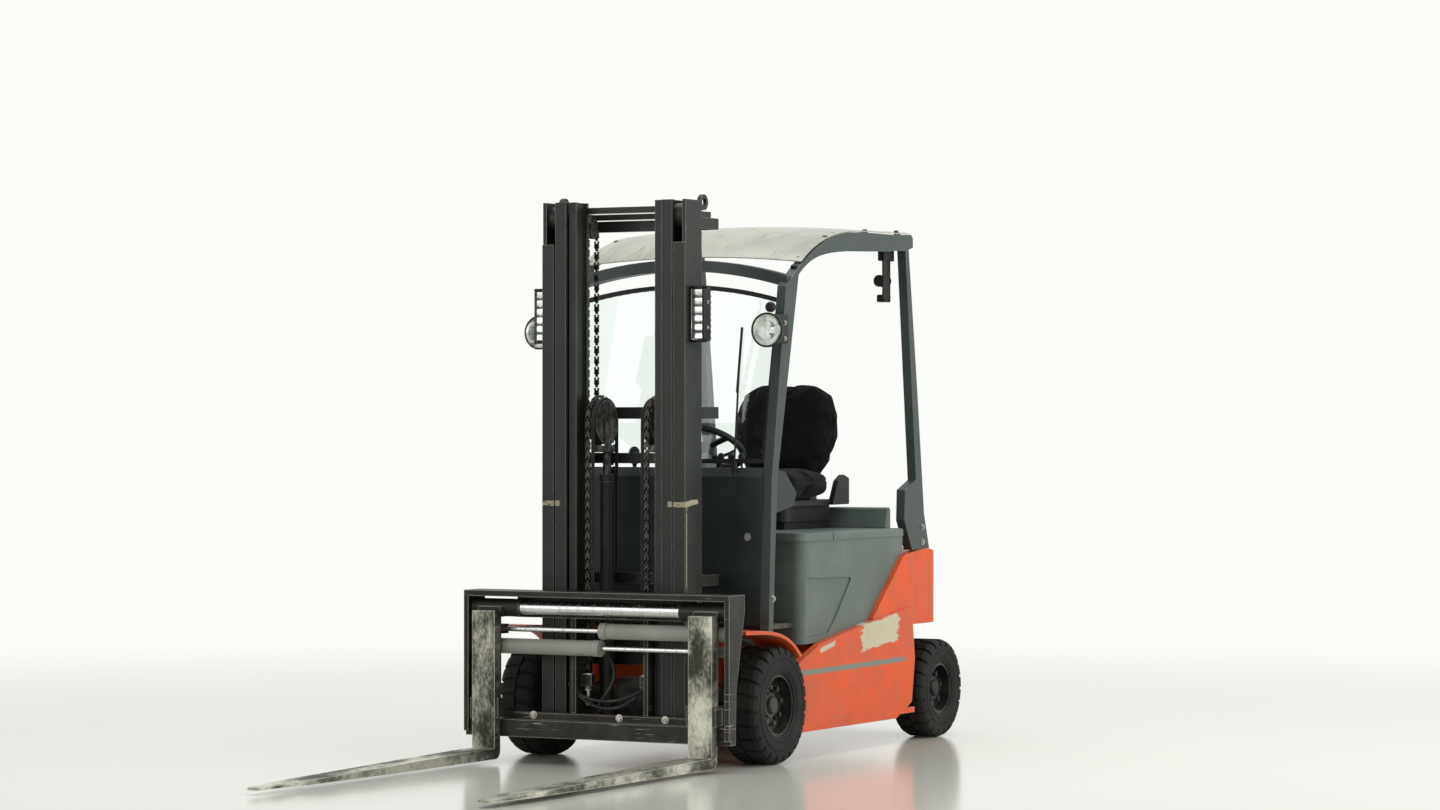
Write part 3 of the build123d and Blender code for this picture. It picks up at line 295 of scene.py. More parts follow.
worn_patch, given, result = new_group(
    "worn patch",
    [("Along", FLOAT, 1.0), ("Height", FLOAT, 0.45), ("Half length", FLOAT, 0.15),
     ("Half height", FLOAT, 0.05), ("Slope", FLOAT, 0.0), ("Ragged", FLOAT, 0.3), ("Outside", FLOAT, 0.5)],
    [("Mask", FLOAT)])
place = add(worn_patch, "ShaderNodeTexCoord").outputs["Object"]
axes = add(worn_patch, "ShaderNodeSeparateXYZ", {0: place}).outputs
along = maths(worn_patch, "SUBTRACT", axes[1], given["Along"])
level = maths(worn_patch, "ADD", given["Height"], maths(worn_patch, "MULTIPLY", along, given["Slope"]))
far_along = maths(worn_patch, "DIVIDE", maths(worn_patch, "ABSOLUTE", along), given["Half length"])
above = maths(worn_patch, "ABSOLUTE", maths(worn_patch, "SUBTRACT", axes[2], level))
far_up = maths(worn_patch, "DIVIDE", above, given["Half height"])
reach = maths(worn_patch, "MAXIMUM", far_along, far_up)
stretched = add(worn_patch, "ShaderNodeMapping", {"Vector": place, "Scale": (1.0, 1.0, 3.0)}).outputs[0]
cloud = add(worn_patch, "ShaderNodeTexNoise",
            {"Vector": stretched, "Scale": 14.0, "Detail": 7.0, "Roughness": 0.7}).outputs[0]
torn = maths(worn_patch, "MULTIPLY", maths(worn_patch, "SUBTRACT", cloud, 0.5), given["Ragged"])
inside = ramp(worn_patch, maths(worn_patch, "ADD", reach, torn), PATCH_EDGE, 1.0, 1.0, 0.0)
far_out = maths(worn_patch, "ABSOLUTE", axes[0])
under_skin = maths(worn_patch, "SUBTRACT", given["Outside"], SKIN_DEPTH)
skin = ramp(worn_patch, far_out, under_skin, given["Outside"])
feed(worn_patch, result["Mask"], maths(worn_patch, "MULTIPLY", inside, skin))
print("groups", sorted(g.name for g in bpy.data.node_groups))

# %% [markdown]
# ## Painted steel
# Most of the truck is painted plate: orange skirts and counterweight, slate guard, charcoal mast. The
# paints differ only in their colour and in how much they have suffered, so one recipe makes all of
# them: a slightly uneven colour, thin scratches, edges rubbed to the metal, and a film of dust that
# also dulls the gloss. The metal showing through is fed to the Metallic socket too, otherwise it would
# look like grey paint.
# %% The paint recipe
BARE_STEEL = (0.30, 0.29, 0.27, 1)
DUST = (0.23, 0.21, 0.175, 1)
DEEP_PAINT = 0.82
BLOTCH = 0.72
DUSTY_ROUGHNESS = 0.8


def shade(colour, share):
    """A colour made darker by a share, or lighter."""
    return tuple(c * share for c in colour[:3]) + (1,)


def start_material(name, **sockets):
    """A material with its one Principled shader, whose sockets take plain values."""
    material = bpy.data.materials.new(name)
    material.use_nodes = True
    shader = material.node_tree.nodes["Principled BSDF"]
    for key, value in sockets.items():
        shader.inputs[key.replace("_", " ")].default_value = value
    return material, material.node_tree, shader.inputs


def bump(tree, shader, height, strength, distance):
    """Feeds a height to the shader's normal."""
    made = add(tree, "ShaderNodeBump", {"Height": height, "Strength": strength, "Distance": distance})
    feed(tree, shader["Normal"], made.outputs[0])


def painted(name, colour, roughness=0.42, edge=0.5, edge_radius=0.004, scratch=0.3, dust=0.4,
            dust_high=0.9, metal=BARE_STEEL, patches=()):
    """Paint on steel; patches are (mask settings, colour, roughness) laid over the paint."""
    material, tree, shader = start_material(name, Coat_Weight=0.03, Coat_Roughness=0.25,
                                            Specular_IOR_Level=0.24)
    patchy = noise(tree, 9.0, 5.0)
    tone = mix_colour(tree, ramp(tree, patchy, 0.3, 0.7), shade(colour, DEEP_PAINT), colour)
    rough = ramp(tree, patchy, 0.3, 0.7, roughness - 0.06, roughness + 0.08)
    for settings, patch_colour, patch_rough in patches:
        mask = place_group(tree, worn_patch, **settings)["Mask"]
        blotched = mix_colour(tree, noise(tree, 60.0, 4.0, (1, 1, 4)), patch_colour,
                              shade(patch_colour, BLOTCH))
        tone = mix_colour(tree, mask, tone, blotched)
        rough = mix_value(tree, mask, rough, patch_rough)
    worn = place_group(tree, edge_wear, Radius=edge_radius, Amount=edge, Scale=55.0)["Mask"]
    lines = place_group(tree, scratches, Scale=7.0, Amount=scratch, Thinness=26.0)["Mask"]
    bare = maths(tree, "MAXIMUM", worn, maths(tree, "MULTIPLY", lines, 0.8), clamp=True)
    tone = mix_colour(tree, bare, tone, metal)
    film = place_group(tree, dust_film, Low=0.05, High=dust_high, Amount=dust)["Mask"]
    feed(tree, shader["Base Color"], mix_colour(tree, film, tone, DUST))
    feed(tree, shader["Roughness"], mix_value(tree, film, rough, DUSTY_ROUGHNESS))
    clean = maths(tree, "SUBTRACT", 0.85, film)
    feed(tree, shader["Metallic"], maths(tree, "MULTIPLY", bare, clean, clamp=True))
    dents = maths(tree, "SUBTRACT", noise(tree, 6.0, 2.0), maths(tree, "MULTIPLY", bare, 0.15))
    bump(tree, shader, dents, 0.25, 0.006)
    return material


# %% The truck's paints
CREAM = (0.62, 0.56, 0.40, 1)
SCRAPED_GREY = (0.24, 0.25, 0.20, 1)
SKIRT_X = 0.5


def patch(along, height, half_length, half_height, slope, ragged, outside, colour, roughness=0.7):
    """One worn place: the settings of its mask, its colour and its roughness."""
    return (dict(Along=along, Height=height, Half_length=half_length, Half_height=half_height,
                 Slope=slope, Ragged=ragged, Outside=outside), colour, roughness)


skirt_patches = [
    patch(1.02, 0.455, 0.165, 0.056, 0.10, 1.1, SKIRT_X, CREAM),
    patch(0.565, 0.42, 0.065, 0.010, 0.19, 0.9, SKIRT_X, CREAM),
    patch(0.78, 0.334, 0.50, 0.011, 0.01, 1.5, SKIRT_X, SCRAPED_GREY, 0.75),
]
orange_paint = painted("orange paint", (0.70, 0.088, 0.013, 1), 0.40, edge=0.55, scratch=0.55, dust=0.22,
                       patches=skirt_patches)
slate_paint = painted("slate paint", (0.048, 0.065, 0.062, 1), 0.42, edge=0.25, edge_radius=0.003,
                      scratch=0.12, dust=0.3, dust_high=1.0)
mast_marks = [
    patch(-0.13, 0.985, 0.055, 0.010, 0.1, 1.7, 0.24, (0.40, 0.36, 0.26, 1)),
    patch(-0.165, 0.80, 0.004, 0.16, 0.0, 1.4, 0.27, (0.30, 0.27, 0.20, 1)),
]
mast_paint = painted("charcoal mast paint", (0.017, 0.020, 0.017, 1), 0.40, edge=0.45, edge_radius=0.003,
                     scratch=0.30, dust=0.08, dust_high=1.6, patches=mast_marks)
carriage_paint = painted("rubbed black paint", (0.014, 0.013, 0.011, 1), 0.45, edge=1.1, edge_radius=0.006,
                         scratch=0.65, dust=0.15, metal=(0.33, 0.31, 0.25, 1))
grey_paint = painted("grey cylinder paint", (0.34, 0.345, 0.31, 1), 0.38, edge=0.4, scratch=0.5, dust=0.25,
                     metal=(0.05, 0.05, 0.045, 1))
axle_paint = painted("axle black", (0.014, 0.014, 0.014, 1), 0.55, edge=0.4, scratch=0.2, dust=0.8)
rim_paint = painted("rim black", (0.010, 0.011, 0.011, 1), 0.42, edge=0.35, edge_radius=0.002,
                    scratch=0.2, dust=0.35)

# %% [markdown]
# ## Bare metal
# Forks have no paint where they slide under pallets: dark mill scale in the middle of the shank,
# bright steel where loads rub. Rods and the cross shaft are ground and chromed, with fine rings of
# dirt across them. A metal is Metallic 1 with its colour in Base Color, and nearly everything that
# makes it look used is in Roughness.
# %% Steel, chrome and chain
def worn_steel(name, dark, bright, scale, stretch, dust=0.25, edge=0.8):
    """Steel rubbed bright in clouds, brighter on its edges."""
    material, tree, shader = start_material(name)
    cloud = noise(tree, scale, 7.0, stretch, 0.62)
    fine = noise(tree, scale * 9, 4.0, (stretch[0] * 2, stretch[1], stretch[2] * 2))
    rubbed = ramp(tree, maths(tree, "ADD", cloud, maths(tree, "MULTIPLY", fine, 0.25)), 0.5, 0.78)
    edges = place_group(tree, edge_wear, Radius=0.006, Amount=edge, Scale=45.0)["Mask"]
    bare = maths(tree, "MAXIMUM", rubbed, edges)
    film = place_group(tree, dust_film, Low=0.0, High=0.7, Amount=dust)["Mask"]
    feed(tree, shader["Base Color"], mix_colour(tree, film, mix_colour(tree, bare, dark, bright), DUST))
    metal = mix_value(tree, bare, 0.55, 0.95)
    feed(tree, shader["Metallic"], maths(tree, "SUBTRACT", metal, film, clamp=True))
    feed(tree, shader["Roughness"], mix_value(tree, bare, 0.62, 0.36))
    bump(tree, shader, fine, 0.2, 0.0012)
    return material


def polished(name, colour, ring_axis, rough=0.16):
    """Chromed steel with faint rings of dirt across ring_axis."""
    material, tree, shader = start_material(name, Metallic=1.0)
    stretch = tuple(30.0 if axis == ring_axis else 2.0 for axis in "xyz")
    rings = ramp(tree, noise(tree, 3.0, 5.0, stretch), 0.45, 0.72)
    feed(tree, shader["Base Color"], mix_colour(tree, rings, colour, shade(colour, 0.75)))
    feed(tree, shader["Roughness"], mix_value(tree, rings, rough, rough + 0.22))
    return material


fork_steel = worn_steel("fork steel", (0.034, 0.033, 0.026, 1), (0.60, 0.59, 0.50, 1), 3.2,
                        (2.0, 1.0, 1.0), dust=0.06)
chain_steel = worn_steel("oiled chain steel", (0.018, 0.017, 0.016, 1), (0.10, 0.095, 0.085, 1), 30.0,
                         (1, 1, 1), dust=0.1, edge=0.4)
shaft_chrome = polished("shaft chrome", (0.62, 0.63, 0.62, 1), "x", 0.2)
rod_chrome = polished("rod chrome", (0.70, 0.71, 0.71, 1), "z")
zinc = worn_steel("zinc plated steel", (0.22, 0.21, 0.18, 1), (0.62, 0.60, 0.54, 1), 40.0,
                  (1, 1, 1), dust=0.1)

# %% [markdown]
# ## Plastic, rubber, glass and lamps
# The hood and cowl are moulded plastic with a fine pebbled grain that breaks up the highlight. Rubber
# is nearly black, matt, and brownish where dust sticks. The windscreen is clear sheet with a hint of
# green: a real glass shader, which lets shadow rays through so that the cab is not left in the dark.
# %% Plastic and rubber
def moulded(name, colour, roughness=0.5, grain_scale=520.0, depth=0.12, dust=0.25, dust_high=1.2,
            scratch=0.1):
    """Grained plastic with a light film of dust and a few pale scratches."""
    material, tree, shader = start_material(name, Specular_IOR_Level=0.24)
    cloud = noise(tree, 5.0, 4.0)
    pale = tuple(min(1.0, c * 1.35 + 0.006) for c in colour[:3]) + (1,)
    tone = mix_colour(tree, ramp(tree, cloud, 0.35, 0.75), colour, pale)
    lines = place_group(tree, scratches, Scale=9.0, Amount=scratch, Thinness=18.0)["Mask"]
    tone = mix_colour(tree, maths(tree, "MULTIPLY", lines, 0.6), tone, (0.30, 0.31, 0.30, 1))
    film = place_group(tree, dust_film, Low=0.1, High=dust_high, Amount=dust)["Mask"]
    feed(tree, shader["Base Color"], mix_colour(tree, film, tone, DUST))
    feed(tree, shader["Roughness"], ramp(tree, cloud, 0.3, 0.7, roughness - 0.07, roughness + 0.1))
    height = place_group(tree, grain, Scale=grain_scale, Waves=7.0, Wave_share=0.6)["Height"]
    bump(tree, shader, height, depth, 0.002)
    return material


hood_plastic = moulded("slate hood plastic", (0.100, 0.126, 0.114, 1), 0.46, dust=0.22, scratch=0.25)
cowl_plastic = moulded("dark cowl plastic", (0.018, 0.025, 0.027, 1), 0.42, dust=0.08)
black_plastic = moulded("black plastic", (0.009, 0.009, 0.009, 1), 0.45, dust=0.06)
mat_rubber = moulded("floor mat rubber", (0.016, 0.016, 0.016, 1), 0.75, 260.0, 0.4, dust=0.6)
seal_rubber = moulded("seal rubber", (0.010, 0.010, 0.010, 1), 0.6, 700.0, 0.1, dust=0.12)
hose_rubber = moulded("hose rubber", (0.012, 0.012, 0.013, 1), 0.42, 900.0, 0.08, dust=0.2)
tyre_rubber = moulded("tyre rubber", (0.006, 0.0065, 0.006, 1), 0.72, 180.0, 0.22, dust=0.06,
                      dust_high=0.5, scratch=0.0)

# %% Glass and lamps
def clear_sheet(name, colour, roughness=0.0):
    """Glass that lets shadow rays pass."""
    material, tree, _ = start_material(name, Base_Color=colour, Transmission_Weight=1.0, IOR=1.45,
                                       Roughness=roughness)
    passing = add(tree, "ShaderNodeBsdfTransparent", {"Color": colour}).outputs[0]
    shadow = add(tree, "ShaderNodeLightPath").outputs["Is Shadow Ray"]
    own = tree.nodes["Principled BSDF"].outputs[0]
    both = add(tree, "ShaderNodeMixShader", {0: shadow, 1: own, 2: passing}).outputs[0]
    feed(tree, tree.nodes["Material Output"].inputs["Surface"], both)
    return material


screen_glass = clear_sheet("windscreen glass", (0.90, 0.965, 0.94, 1))
lamp_glass = clear_sheet("lamp glass", (0.96, 0.97, 0.96, 1), 0.05)


def roof_sheet_material():
    """A weathered cream cover with dark streaks of weather."""
    material, tree, shader = start_material("weathered roof sheet")
    cloud = noise(tree, 3.0, 6.0, (1, 1, 1), 0.65)
    tone = mix_colour(tree, ramp(tree, cloud, 0.35, 0.7), (0.40, 0.40, 0.34, 1), (0.26, 0.27, 0.23, 1))
    streaks = ramp(tree, noise(tree, 7.0, 5.0, (6, 1, 1)), 0.55, 0.8)
    feed(tree, shader["Base Color"], mix_colour(tree, streaks, tone, (0.22, 0.21, 0.17, 1)))
    feed(tree, shader["Roughness"], mix_value(tree, streaks, 0.28, 0.6))
    bump(tree, shader, cloud, 0.2, 0.004)
    return material


roof_sheet = roof_sheet_material()

# %% [markdown]
# ## Seat cloth
# The seat is black woven cloth, rubbed a little grey. A weave is two sets of threads, and at this
# distance only its softness shows: fine ribs in the bump and a sheen at grazing angles. The pattern
# reads object coordinates, so it does not depend on any unwrapping.
# %% The cloth
THREAD_TURN = 0.78
THREAD_SCALE = 160.0


def seat_cloth_material():
    """Black cloth of crossed threads, rubbed grey in places."""
    material, tree, shader = start_material("seat cloth", Roughness=0.9, Sheen_Weight=0.06,
                                            Sheen_Roughness=0.5, Specular_IOR_Level=0.12)
    threads = []
    for turn in (THREAD_TURN, -THREAD_TURN):
        place = add(tree, "ShaderNodeTexCoord").outputs["Object"]
        turned_place = add(tree, "ShaderNodeMapping", {"Vector": place, "Rotation": (0, 0, turn)}).outputs[0]
        thread = add(tree, "ShaderNodeTexWave",
                     {"Vector": turned_place, "Scale": THREAD_SCALE, "Distortion": 0.4}, wave_type="BANDS")
        threads.append(thread.outputs["Fac"])
    weave = maths(tree, "MULTIPLY", threads[0], threads[1])
    rubbed = ramp(tree, noise(tree, 11.0, 5.0), 0.42, 0.75, 0.0, 0.55)
    tone = mix_colour(tree, rubbed, (0.004, 0.004, 0.0045, 1), (0.013, 0.013, 0.013, 1))
    feed(tree, shader["Base Color"], tone)
    bump(tree, shader, weave, 0.35, 0.0012)
    return material


seat_cloth = seat_cloth_material()

# %% Give every solid its finish
finishes = {
    orange_paint: "chassis_frame counterweight fenders",
    slate_paint: "overhead_guard",
    hood_plastic: "battery_surround hood_lid",
    cowl_plastic: "front_cowl",
    mast_paint: "mast_outer mast_middle mast_inner lift_cylinder_barrels free_lift_barrels tilt_barrels",
    carriage_paint: "carriage positioner_frame hanger_left hanger_right",
    grey_paint: "positioner_barrels",
    axle_paint: "drive_axle steer_axle axle_hangers knuckle_left knuckle_right",
    rim_paint: "front_left_rim front_right_rim rear_left_rim rear_right_rim",
    fork_steel: "fork_left fork_right",
    shaft_chrome: "fork_shaft rod_left rod_right",
    rod_chrome: "lift_cylinder_rods tilt_rods",
    chain_steel: "lift_chains main_chains main_pulleys free_lift_rods",
    black_plastic: ("battery steering_column wiper head_lamps rear_lamp mirror steering_wheel seat_base "
                    "mast_lamps"),
    mat_rubber: "floor_plate",
    seal_rubber: "windscreen_trim",
    hose_rubber: "mast_hoses",
    tyre_rubber: "front_left_tyre front_right_tyre rear_left_tyre rear_right_tyre",
    screen_glass: "windscreen",
    lamp_glass: "head_lamp_lenses mast_lamp_lenses",
    roof_sheet: "roof_panel",
    seat_cloth: "seat_cushion seat_back",
}
finished = set()
for material, names in finishes.items():
    for name in names.split():
        nodes[name].data.materials.clear()
        nodes[name].data.materials.append(material)
        finished.add(name)
print("solids without a finish:", sorted(set(nodes) - finished))

# %% [markdown]
# ## Shaping helpers
# Pieces are meshes made in place: every point is written in the frame's metres, so an object never
# needs moving. Three shapes cover most of a machine: a profile turned round the wheel's axis, a block
# with rounded edges, and a round bar that follows a smooth line. Normals are recalculated on each
# closed shape, so that none is inside out.
# %% Helpers for pieces
scene_objects = bpy.context.scene.collection.objects
made_pieces = []


def keep(name, mesh, body, material, smooth_angle=35):
    """Puts a finished mesh in the scene, on a body of the frame."""
    if not mesh.materials:
        mesh.materials.append(material)
    mesh.shade_smooth()
    mesh.set_sharp_from_angle(angle=math.radians(smooth_angle))
    made = bpy.data.objects.new(name, mesh)
    scene_objects.link(made)
    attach(made, body)
    made_pieces.append(made)
    return made


def closed_mesh(shape, name="shape"):
    """A mesh from a bmesh whose faces all point outwards."""
    bmesh.ops.remove_doubles(shape, verts=shape.verts, dist=0.00001)
    bmesh.ops.recalc_face_normals(shape, faces=shape.faces)
    mesh = bpy.data.meshes.new(name)
    shape.to_mesh(mesh)
    shape.free()
    return mesh


def add_turned(shape, profile, centre, axis="x", steps=64, full=True):
    """Turns a closed profile of (along, radius) pairs round an axis through centre."""
    rings = []
    for step in range(steps):
        angle = 2 * math.pi * step / steps
        ring = []
        for along, radius in profile:
            a, b = radius * math.cos(angle), radius * math.sin(angle)
            offset = {"x": (along, a, b), "y": (b, along, a), "z": (a, b, along)}[axis]
            ring.append(shape.verts.new(Vector(centre) + Vector(offset)))
        rings.append(ring)
    count = len(profile)
    for step in range(steps):
        here, there = rings[step], rings[(step + 1) % steps]
        for k in range(count if full else count - 1):
            nxt = (k + 1) % count
            shape.faces.new((here[k], here[nxt], there[nxt], there[k]))
    if not full:
        for end in (0, count - 1):
            shape.faces.new([ring[end] for ring in rings])


def add_block(shape, low, high, radius=0.003, segments=2, turn=None, about=None):
    """A block between two corners with rounded edges, turned about a point if asked."""
    before = set(shape.verts)
    bmesh.ops.create_cube(shape, size=1.0)
    new = [v for v in shape.verts if v not in before]
    low, high = Vector(low), Vector(high)
    for v in new:
        v.co = Vector(low[i] + (high[i] - low[i]) * (v.co[i] + 0.5) for i in range(3))
    edges = list({e for v in new for e in v.link_edges})
    if radius:
        bmesh.ops.bevel(shape, geom=edges, offset=radius, segments=segments,
                        affect="EDGES", profile=0.5)
    new = [v for v in shape.verts if v not in before]
    if turn is not None:
        middle = Vector(about) if about else (low + high) / 2
        for v in new:
            v.co = middle + turn @ (v.co - middle)
    return new


def add_bar(shape, points, radius, sides=14, order=3):
    """A round bar or hose along a smooth line through a few points."""
    curve = bpy.data.curves.new("bar line", "CURVE")
    curve.dimensions = "3D"
    spline = curve.splines.new("NURBS")
    spline.points.add(len(points) - 1)
    for point, place in zip(spline.points, points):
        point.co = (*place, 1.0)
    spline.order_u = min(order, len(points))
    spline.use_endpoint_u = True
    curve.resolution_u = 10 if len(points) > 2 else 1
    curve.bevel_depth = radius
    curve.bevel_resolution = max(2, sides // 4)
    curve.use_fill_caps = True
    holder = bpy.data.objects.new("bar line", curve)
    mesh = bpy.data.meshes.new_from_object(holder)
    shape.from_mesh(mesh)
    bpy.data.objects.remove(holder)
    bpy.data.curves.remove(curve)
    bpy.data.meshes.remove(mesh)


def mirrored(build):
    """Runs a builder for the left side and the right side and gives one closed mesh."""
    shape = bmesh.new()
    for side in (1, -1):
        build(shape, side)
    return closed_mesh(shape)


# %% [markdown]
# ## Growing what repeats
# Tread blocks, bolts and chain links repeat by the hundred. Modelling each one is slow, and an array
# follows only a line, so Geometry Nodes put copies on seed points instead. Each tree has named inputs
# for its sizes, and it ends in Realize Instances and Set Material, because only real faces are kept in
# the plain mesh that each piece becomes.
# %% A runner for node trees
def new_tree(name, inputs):
    """An empty geometry tree with a seed mesh and named inputs, and its two end nodes."""
    tree = bpy.data.node_groups.new(name, "GeometryNodeTree")
    tree.interface.new_socket("Seeds", in_out="INPUT", socket_type="NodeSocketGeometry")
    for label, kind, value in inputs:
        socket = tree.interface.new_socket(label, in_out="INPUT", socket_type=kind)
        if value is not None:
            socket.default_value = value
    tree.interface.new_socket("Finish", in_out="INPUT", socket_type="NodeSocketMaterial")
    tree.interface.new_socket("Pieces", in_out="OUTPUT", socket_type="NodeSocketGeometry")
    return tree, tree.nodes.new("NodeGroupInput").outputs, tree.nodes.new("NodeGroupOutput").inputs


def end_tree(tree, instances, given, result):
    """Makes instances real and gives them their finish."""
    real = add(tree, "GeometryNodeRealizeInstances", {"Geometry": instances}).outputs[0]
    feed(tree, result["Pieces"],
         add(tree, "GeometryNodeSetMaterial", {"Geometry": real, "Material": given["Finish"]}).outputs[0])


def grow(name, seeds, tree, body, material, slot, smooth_angle=35, **inputs):
    """Runs a tree on seed points and keeps the result as a plain mesh on a body."""
    carrier = bpy.data.objects.new(name, seeds)
    scene_objects.link(carrier)
    modifier = carrier.modifiers.new("grow", "NODES")
    modifier.node_group = tree
    sockets = {item.name: item.identifier for item in tree.interface.items_tree if item.in_out == "INPUT"}
    for key, value in dict(inputs, Finish=material).items():
        modifier[sockets[key.replace("_", " ")]] = value
    bpy.context.view_layer.update()
    evaluated = carrier.evaluated_get(bpy.context.evaluated_depsgraph_get())
    mesh = bpy.data.meshes.new_from_object(evaluated)
    carrier.modifiers.clear()
    bpy.data.objects.remove(carrier)
    made = keep(name, mesh, body, material, smooth_angle)
    print(name, len(mesh.polygons), "faces on", body)
    return made


def seed_points(places, facings):
    """Loose points that remember which way a piece on them faces."""
    mesh = bpy.data.meshes.new("seeds")
    mesh.from_pydata([tuple(p) for p in places], [], [])
    facing = mesh.attributes.new("facing", "FLOAT_VECTOR", "POINT")
    facing.data.foreach_set("vector", [c for f in facings for c in f])
    return mesh


# %% [markdown]
# ## Tyres
# The truck stands on solid rubber tyres, whose tread is a row of slanted blocks on each side with a
# zigzag between. The body of the tyre is a profile turned round the axle, with the raised rings of its
# side wall, and the blocks are grown round it by a tree that turns one block to each place. One block
# is a short arc with sloping walls, so that the row closes to a true circle and the tyre still stands
# on its own radius.
# %% The tread tree
tread_tree, given, result = new_tree("tyre tread", [
    ("Block", "NodeSocketObject", None), ("Count", "NodeSocketInt", 24), ("Offset", FLOAT, 0.0),
    ("Centre", "NodeSocketVector", (0, 0, 0))])
block_shape = add(tread_tree, "GeometryNodeObjectInfo", {"Object": given["Block"]},
                  transform_space="ORIGINAL").outputs["Geometry"]
row = add(tread_tree, "GeometryNodeMeshLine", {"Count": given["Count"], "Offset": (0, 0, 0)},
          mode="OFFSET").outputs[0]
place_number = add(tread_tree, "GeometryNodeInputIndex").outputs[0]
step_angle = maths(tread_tree, "DIVIDE", 2 * math.pi, given["Count"])
steps_round = maths(tread_tree, "ADD", place_number, given["Offset"])
turn_angle = maths(tread_tree, "MULTIPLY", steps_round, step_angle)
turn = add(tread_tree, "ShaderNodeCombineXYZ", {0: turn_angle}).outputs[0]
ring_of_blocks = add(tread_tree, "GeometryNodeInstanceOnPoints",
                     {"Points": row, "Instance": block_shape, "Rotation": turn}).outputs[0]
moved_ring = add(tread_tree, "GeometryNodeTransform",
                 {"Geometry": ring_of_blocks, "Translation": given["Centre"]}).outputs[0]
end_tree(tread_tree, moved_ring, given, result)


# %% One tread block
TREAD_DEPTH = 0.0085


def tread_block(radius, half_width, count, side, depth=TREAD_DEPTH, fill=0.74, slant=0.10):
    """A slanted block from near the middle of the tread out over the shoulder."""
    pitch = 2 * math.pi / count
    outline = [(0.004, 0.0), (0.030, 0.0), (half_width - 0.024, 0.0), (half_width - TREAD_DEPTH, 0.0075),
               (half_width - 0.0015, 0.0225), (half_width - 0.0015, 0.034)]
    arcs = 4
    shape = bmesh.new()
    top, foot = [], []
    for along, drop in outline:
        lean = slant * (along / half_width) * pitch * 3
        zigzag = 0.13 * pitch if along < 0.02 else 0.0
        for rows, wide, sunk in ((top, fill, 0.0), (foot, min(0.97, fill + 0.12), depth)):
            line = []
            for k in range(arcs + 1):
                angle = lean + zigzag + (k / arcs - 0.5) * pitch * wide
                deep = radius - drop - (sunk if drop < 0.03 else 0.003 if sunk else 0.0)
                inward = sunk * 0.9 if drop > 0.005 else 0.0
                x = side * (along - inward)
                line.append(shape.verts.new((x, deep * math.sin(angle), -deep * math.cos(angle))))
            rows.append(line)
    for rows in (top, foot):
        for a, b in zip(rows, rows[1:]):
            for k in range(arcs):
                shape.faces.new((a[k], a[k + 1], b[k + 1], b[k]))
    for k in (0, arcs):
        for j in range(len(outline) - 1):
            shape.faces.new((top[j][k], top[j + 1][k], foot[j + 1][k], foot[j][k]))
    for j in (0, len(outline) - 1):
        for k in range(arcs):
            shape.faces.new((top[j][k], top[j][k + 1], foot[j][k + 1], foot[j][k]))
    return closed_mesh(shape, "tread block")


# %% Tyre bodies and their tread
def tyre_profile(radius, half_width, bead):
    """Half of a tyre's outline, bead to tread, with the rings of its side wall."""
    near_bead = [(0.014, 0.0), (0.009, 0.002), (0.005, 0.010), (0.0045, 0.013), (0.002, 0.015),
                 (0.002, 0.021), (0.004, 0.0225), (0.002, 0.024), (0.0006, 0.040)]
    near_tread = [(0.0006, 0.052), (0.0030, 0.050), (0.0030, 0.046), (0.0008, 0.044), (0.0012, 0.034),
                  (0.009, 0.021), (0.020, 0.0105), (0.034, TREAD_DEPTH)]
    half = [(half_width - inward, bead + out) for inward, out in near_bead]
    half += [(half_width - inward, radius - down) for inward, down in near_tread]
    half.append((0.02, radius - TREAD_DEPTH))
    return half + [(-along, level) for along, level in reversed(half)]


wheel_sizes = {"front": (24, 0.116), "rear": (22, 0.102)}
sides = {"left": 1, "right": -1}
for end, (block_count, bead_radius) in wheel_sizes.items():
    for name, outward in sides.items():
        node_name = f"{end}_{name}_tyre"
        wheel_body = f"{end}_{name}_wheel"
        low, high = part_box(node_name)
        centre = (low + high) / 2
        radius, half_width = (high.z - low.z) / 2, (high.x - low.x) / 2
        shape = bmesh.new()
        add_turned(shape, tyre_profile(radius, half_width, bead_radius), centre, "x", 96)
        body = keep(f"{node_name}_body", closed_mesh(shape), wheel_body, tyre_rubber, 28)
        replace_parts(body, node_name)
        seeds = seed_points([centre], [(0, 0, 1)])
        for side in (1, -1):
            block_mesh = tread_block(radius - 0.0003, half_width, block_count, side)
            block_object = bpy.data.objects.new("tread block", block_mesh)
            label = "outer" if side == outward else "inner"
            grow(f"{node_name}_tread_{label}", seeds.copy(), tread_tree, wheel_body, tyre_rubber,
                 "tyre_black", 25, Block=block_object, Count=block_count,
                 Offset=0.5 if side > 0 else 0.0, Centre=centre)
            bpy.data.objects.remove(block_object)


# %% [markdown]
# ## Wheels' nuts and caps
# Each front wheel shows a dished black rim with a ring of nuts and a hub cap. Nuts repeat, so one tree
# puts a six-sided head with its washer on every seed point, turned to face the way that the point
# remembers.
# %% The bolt tree
WASHER_SHARE = 0.25

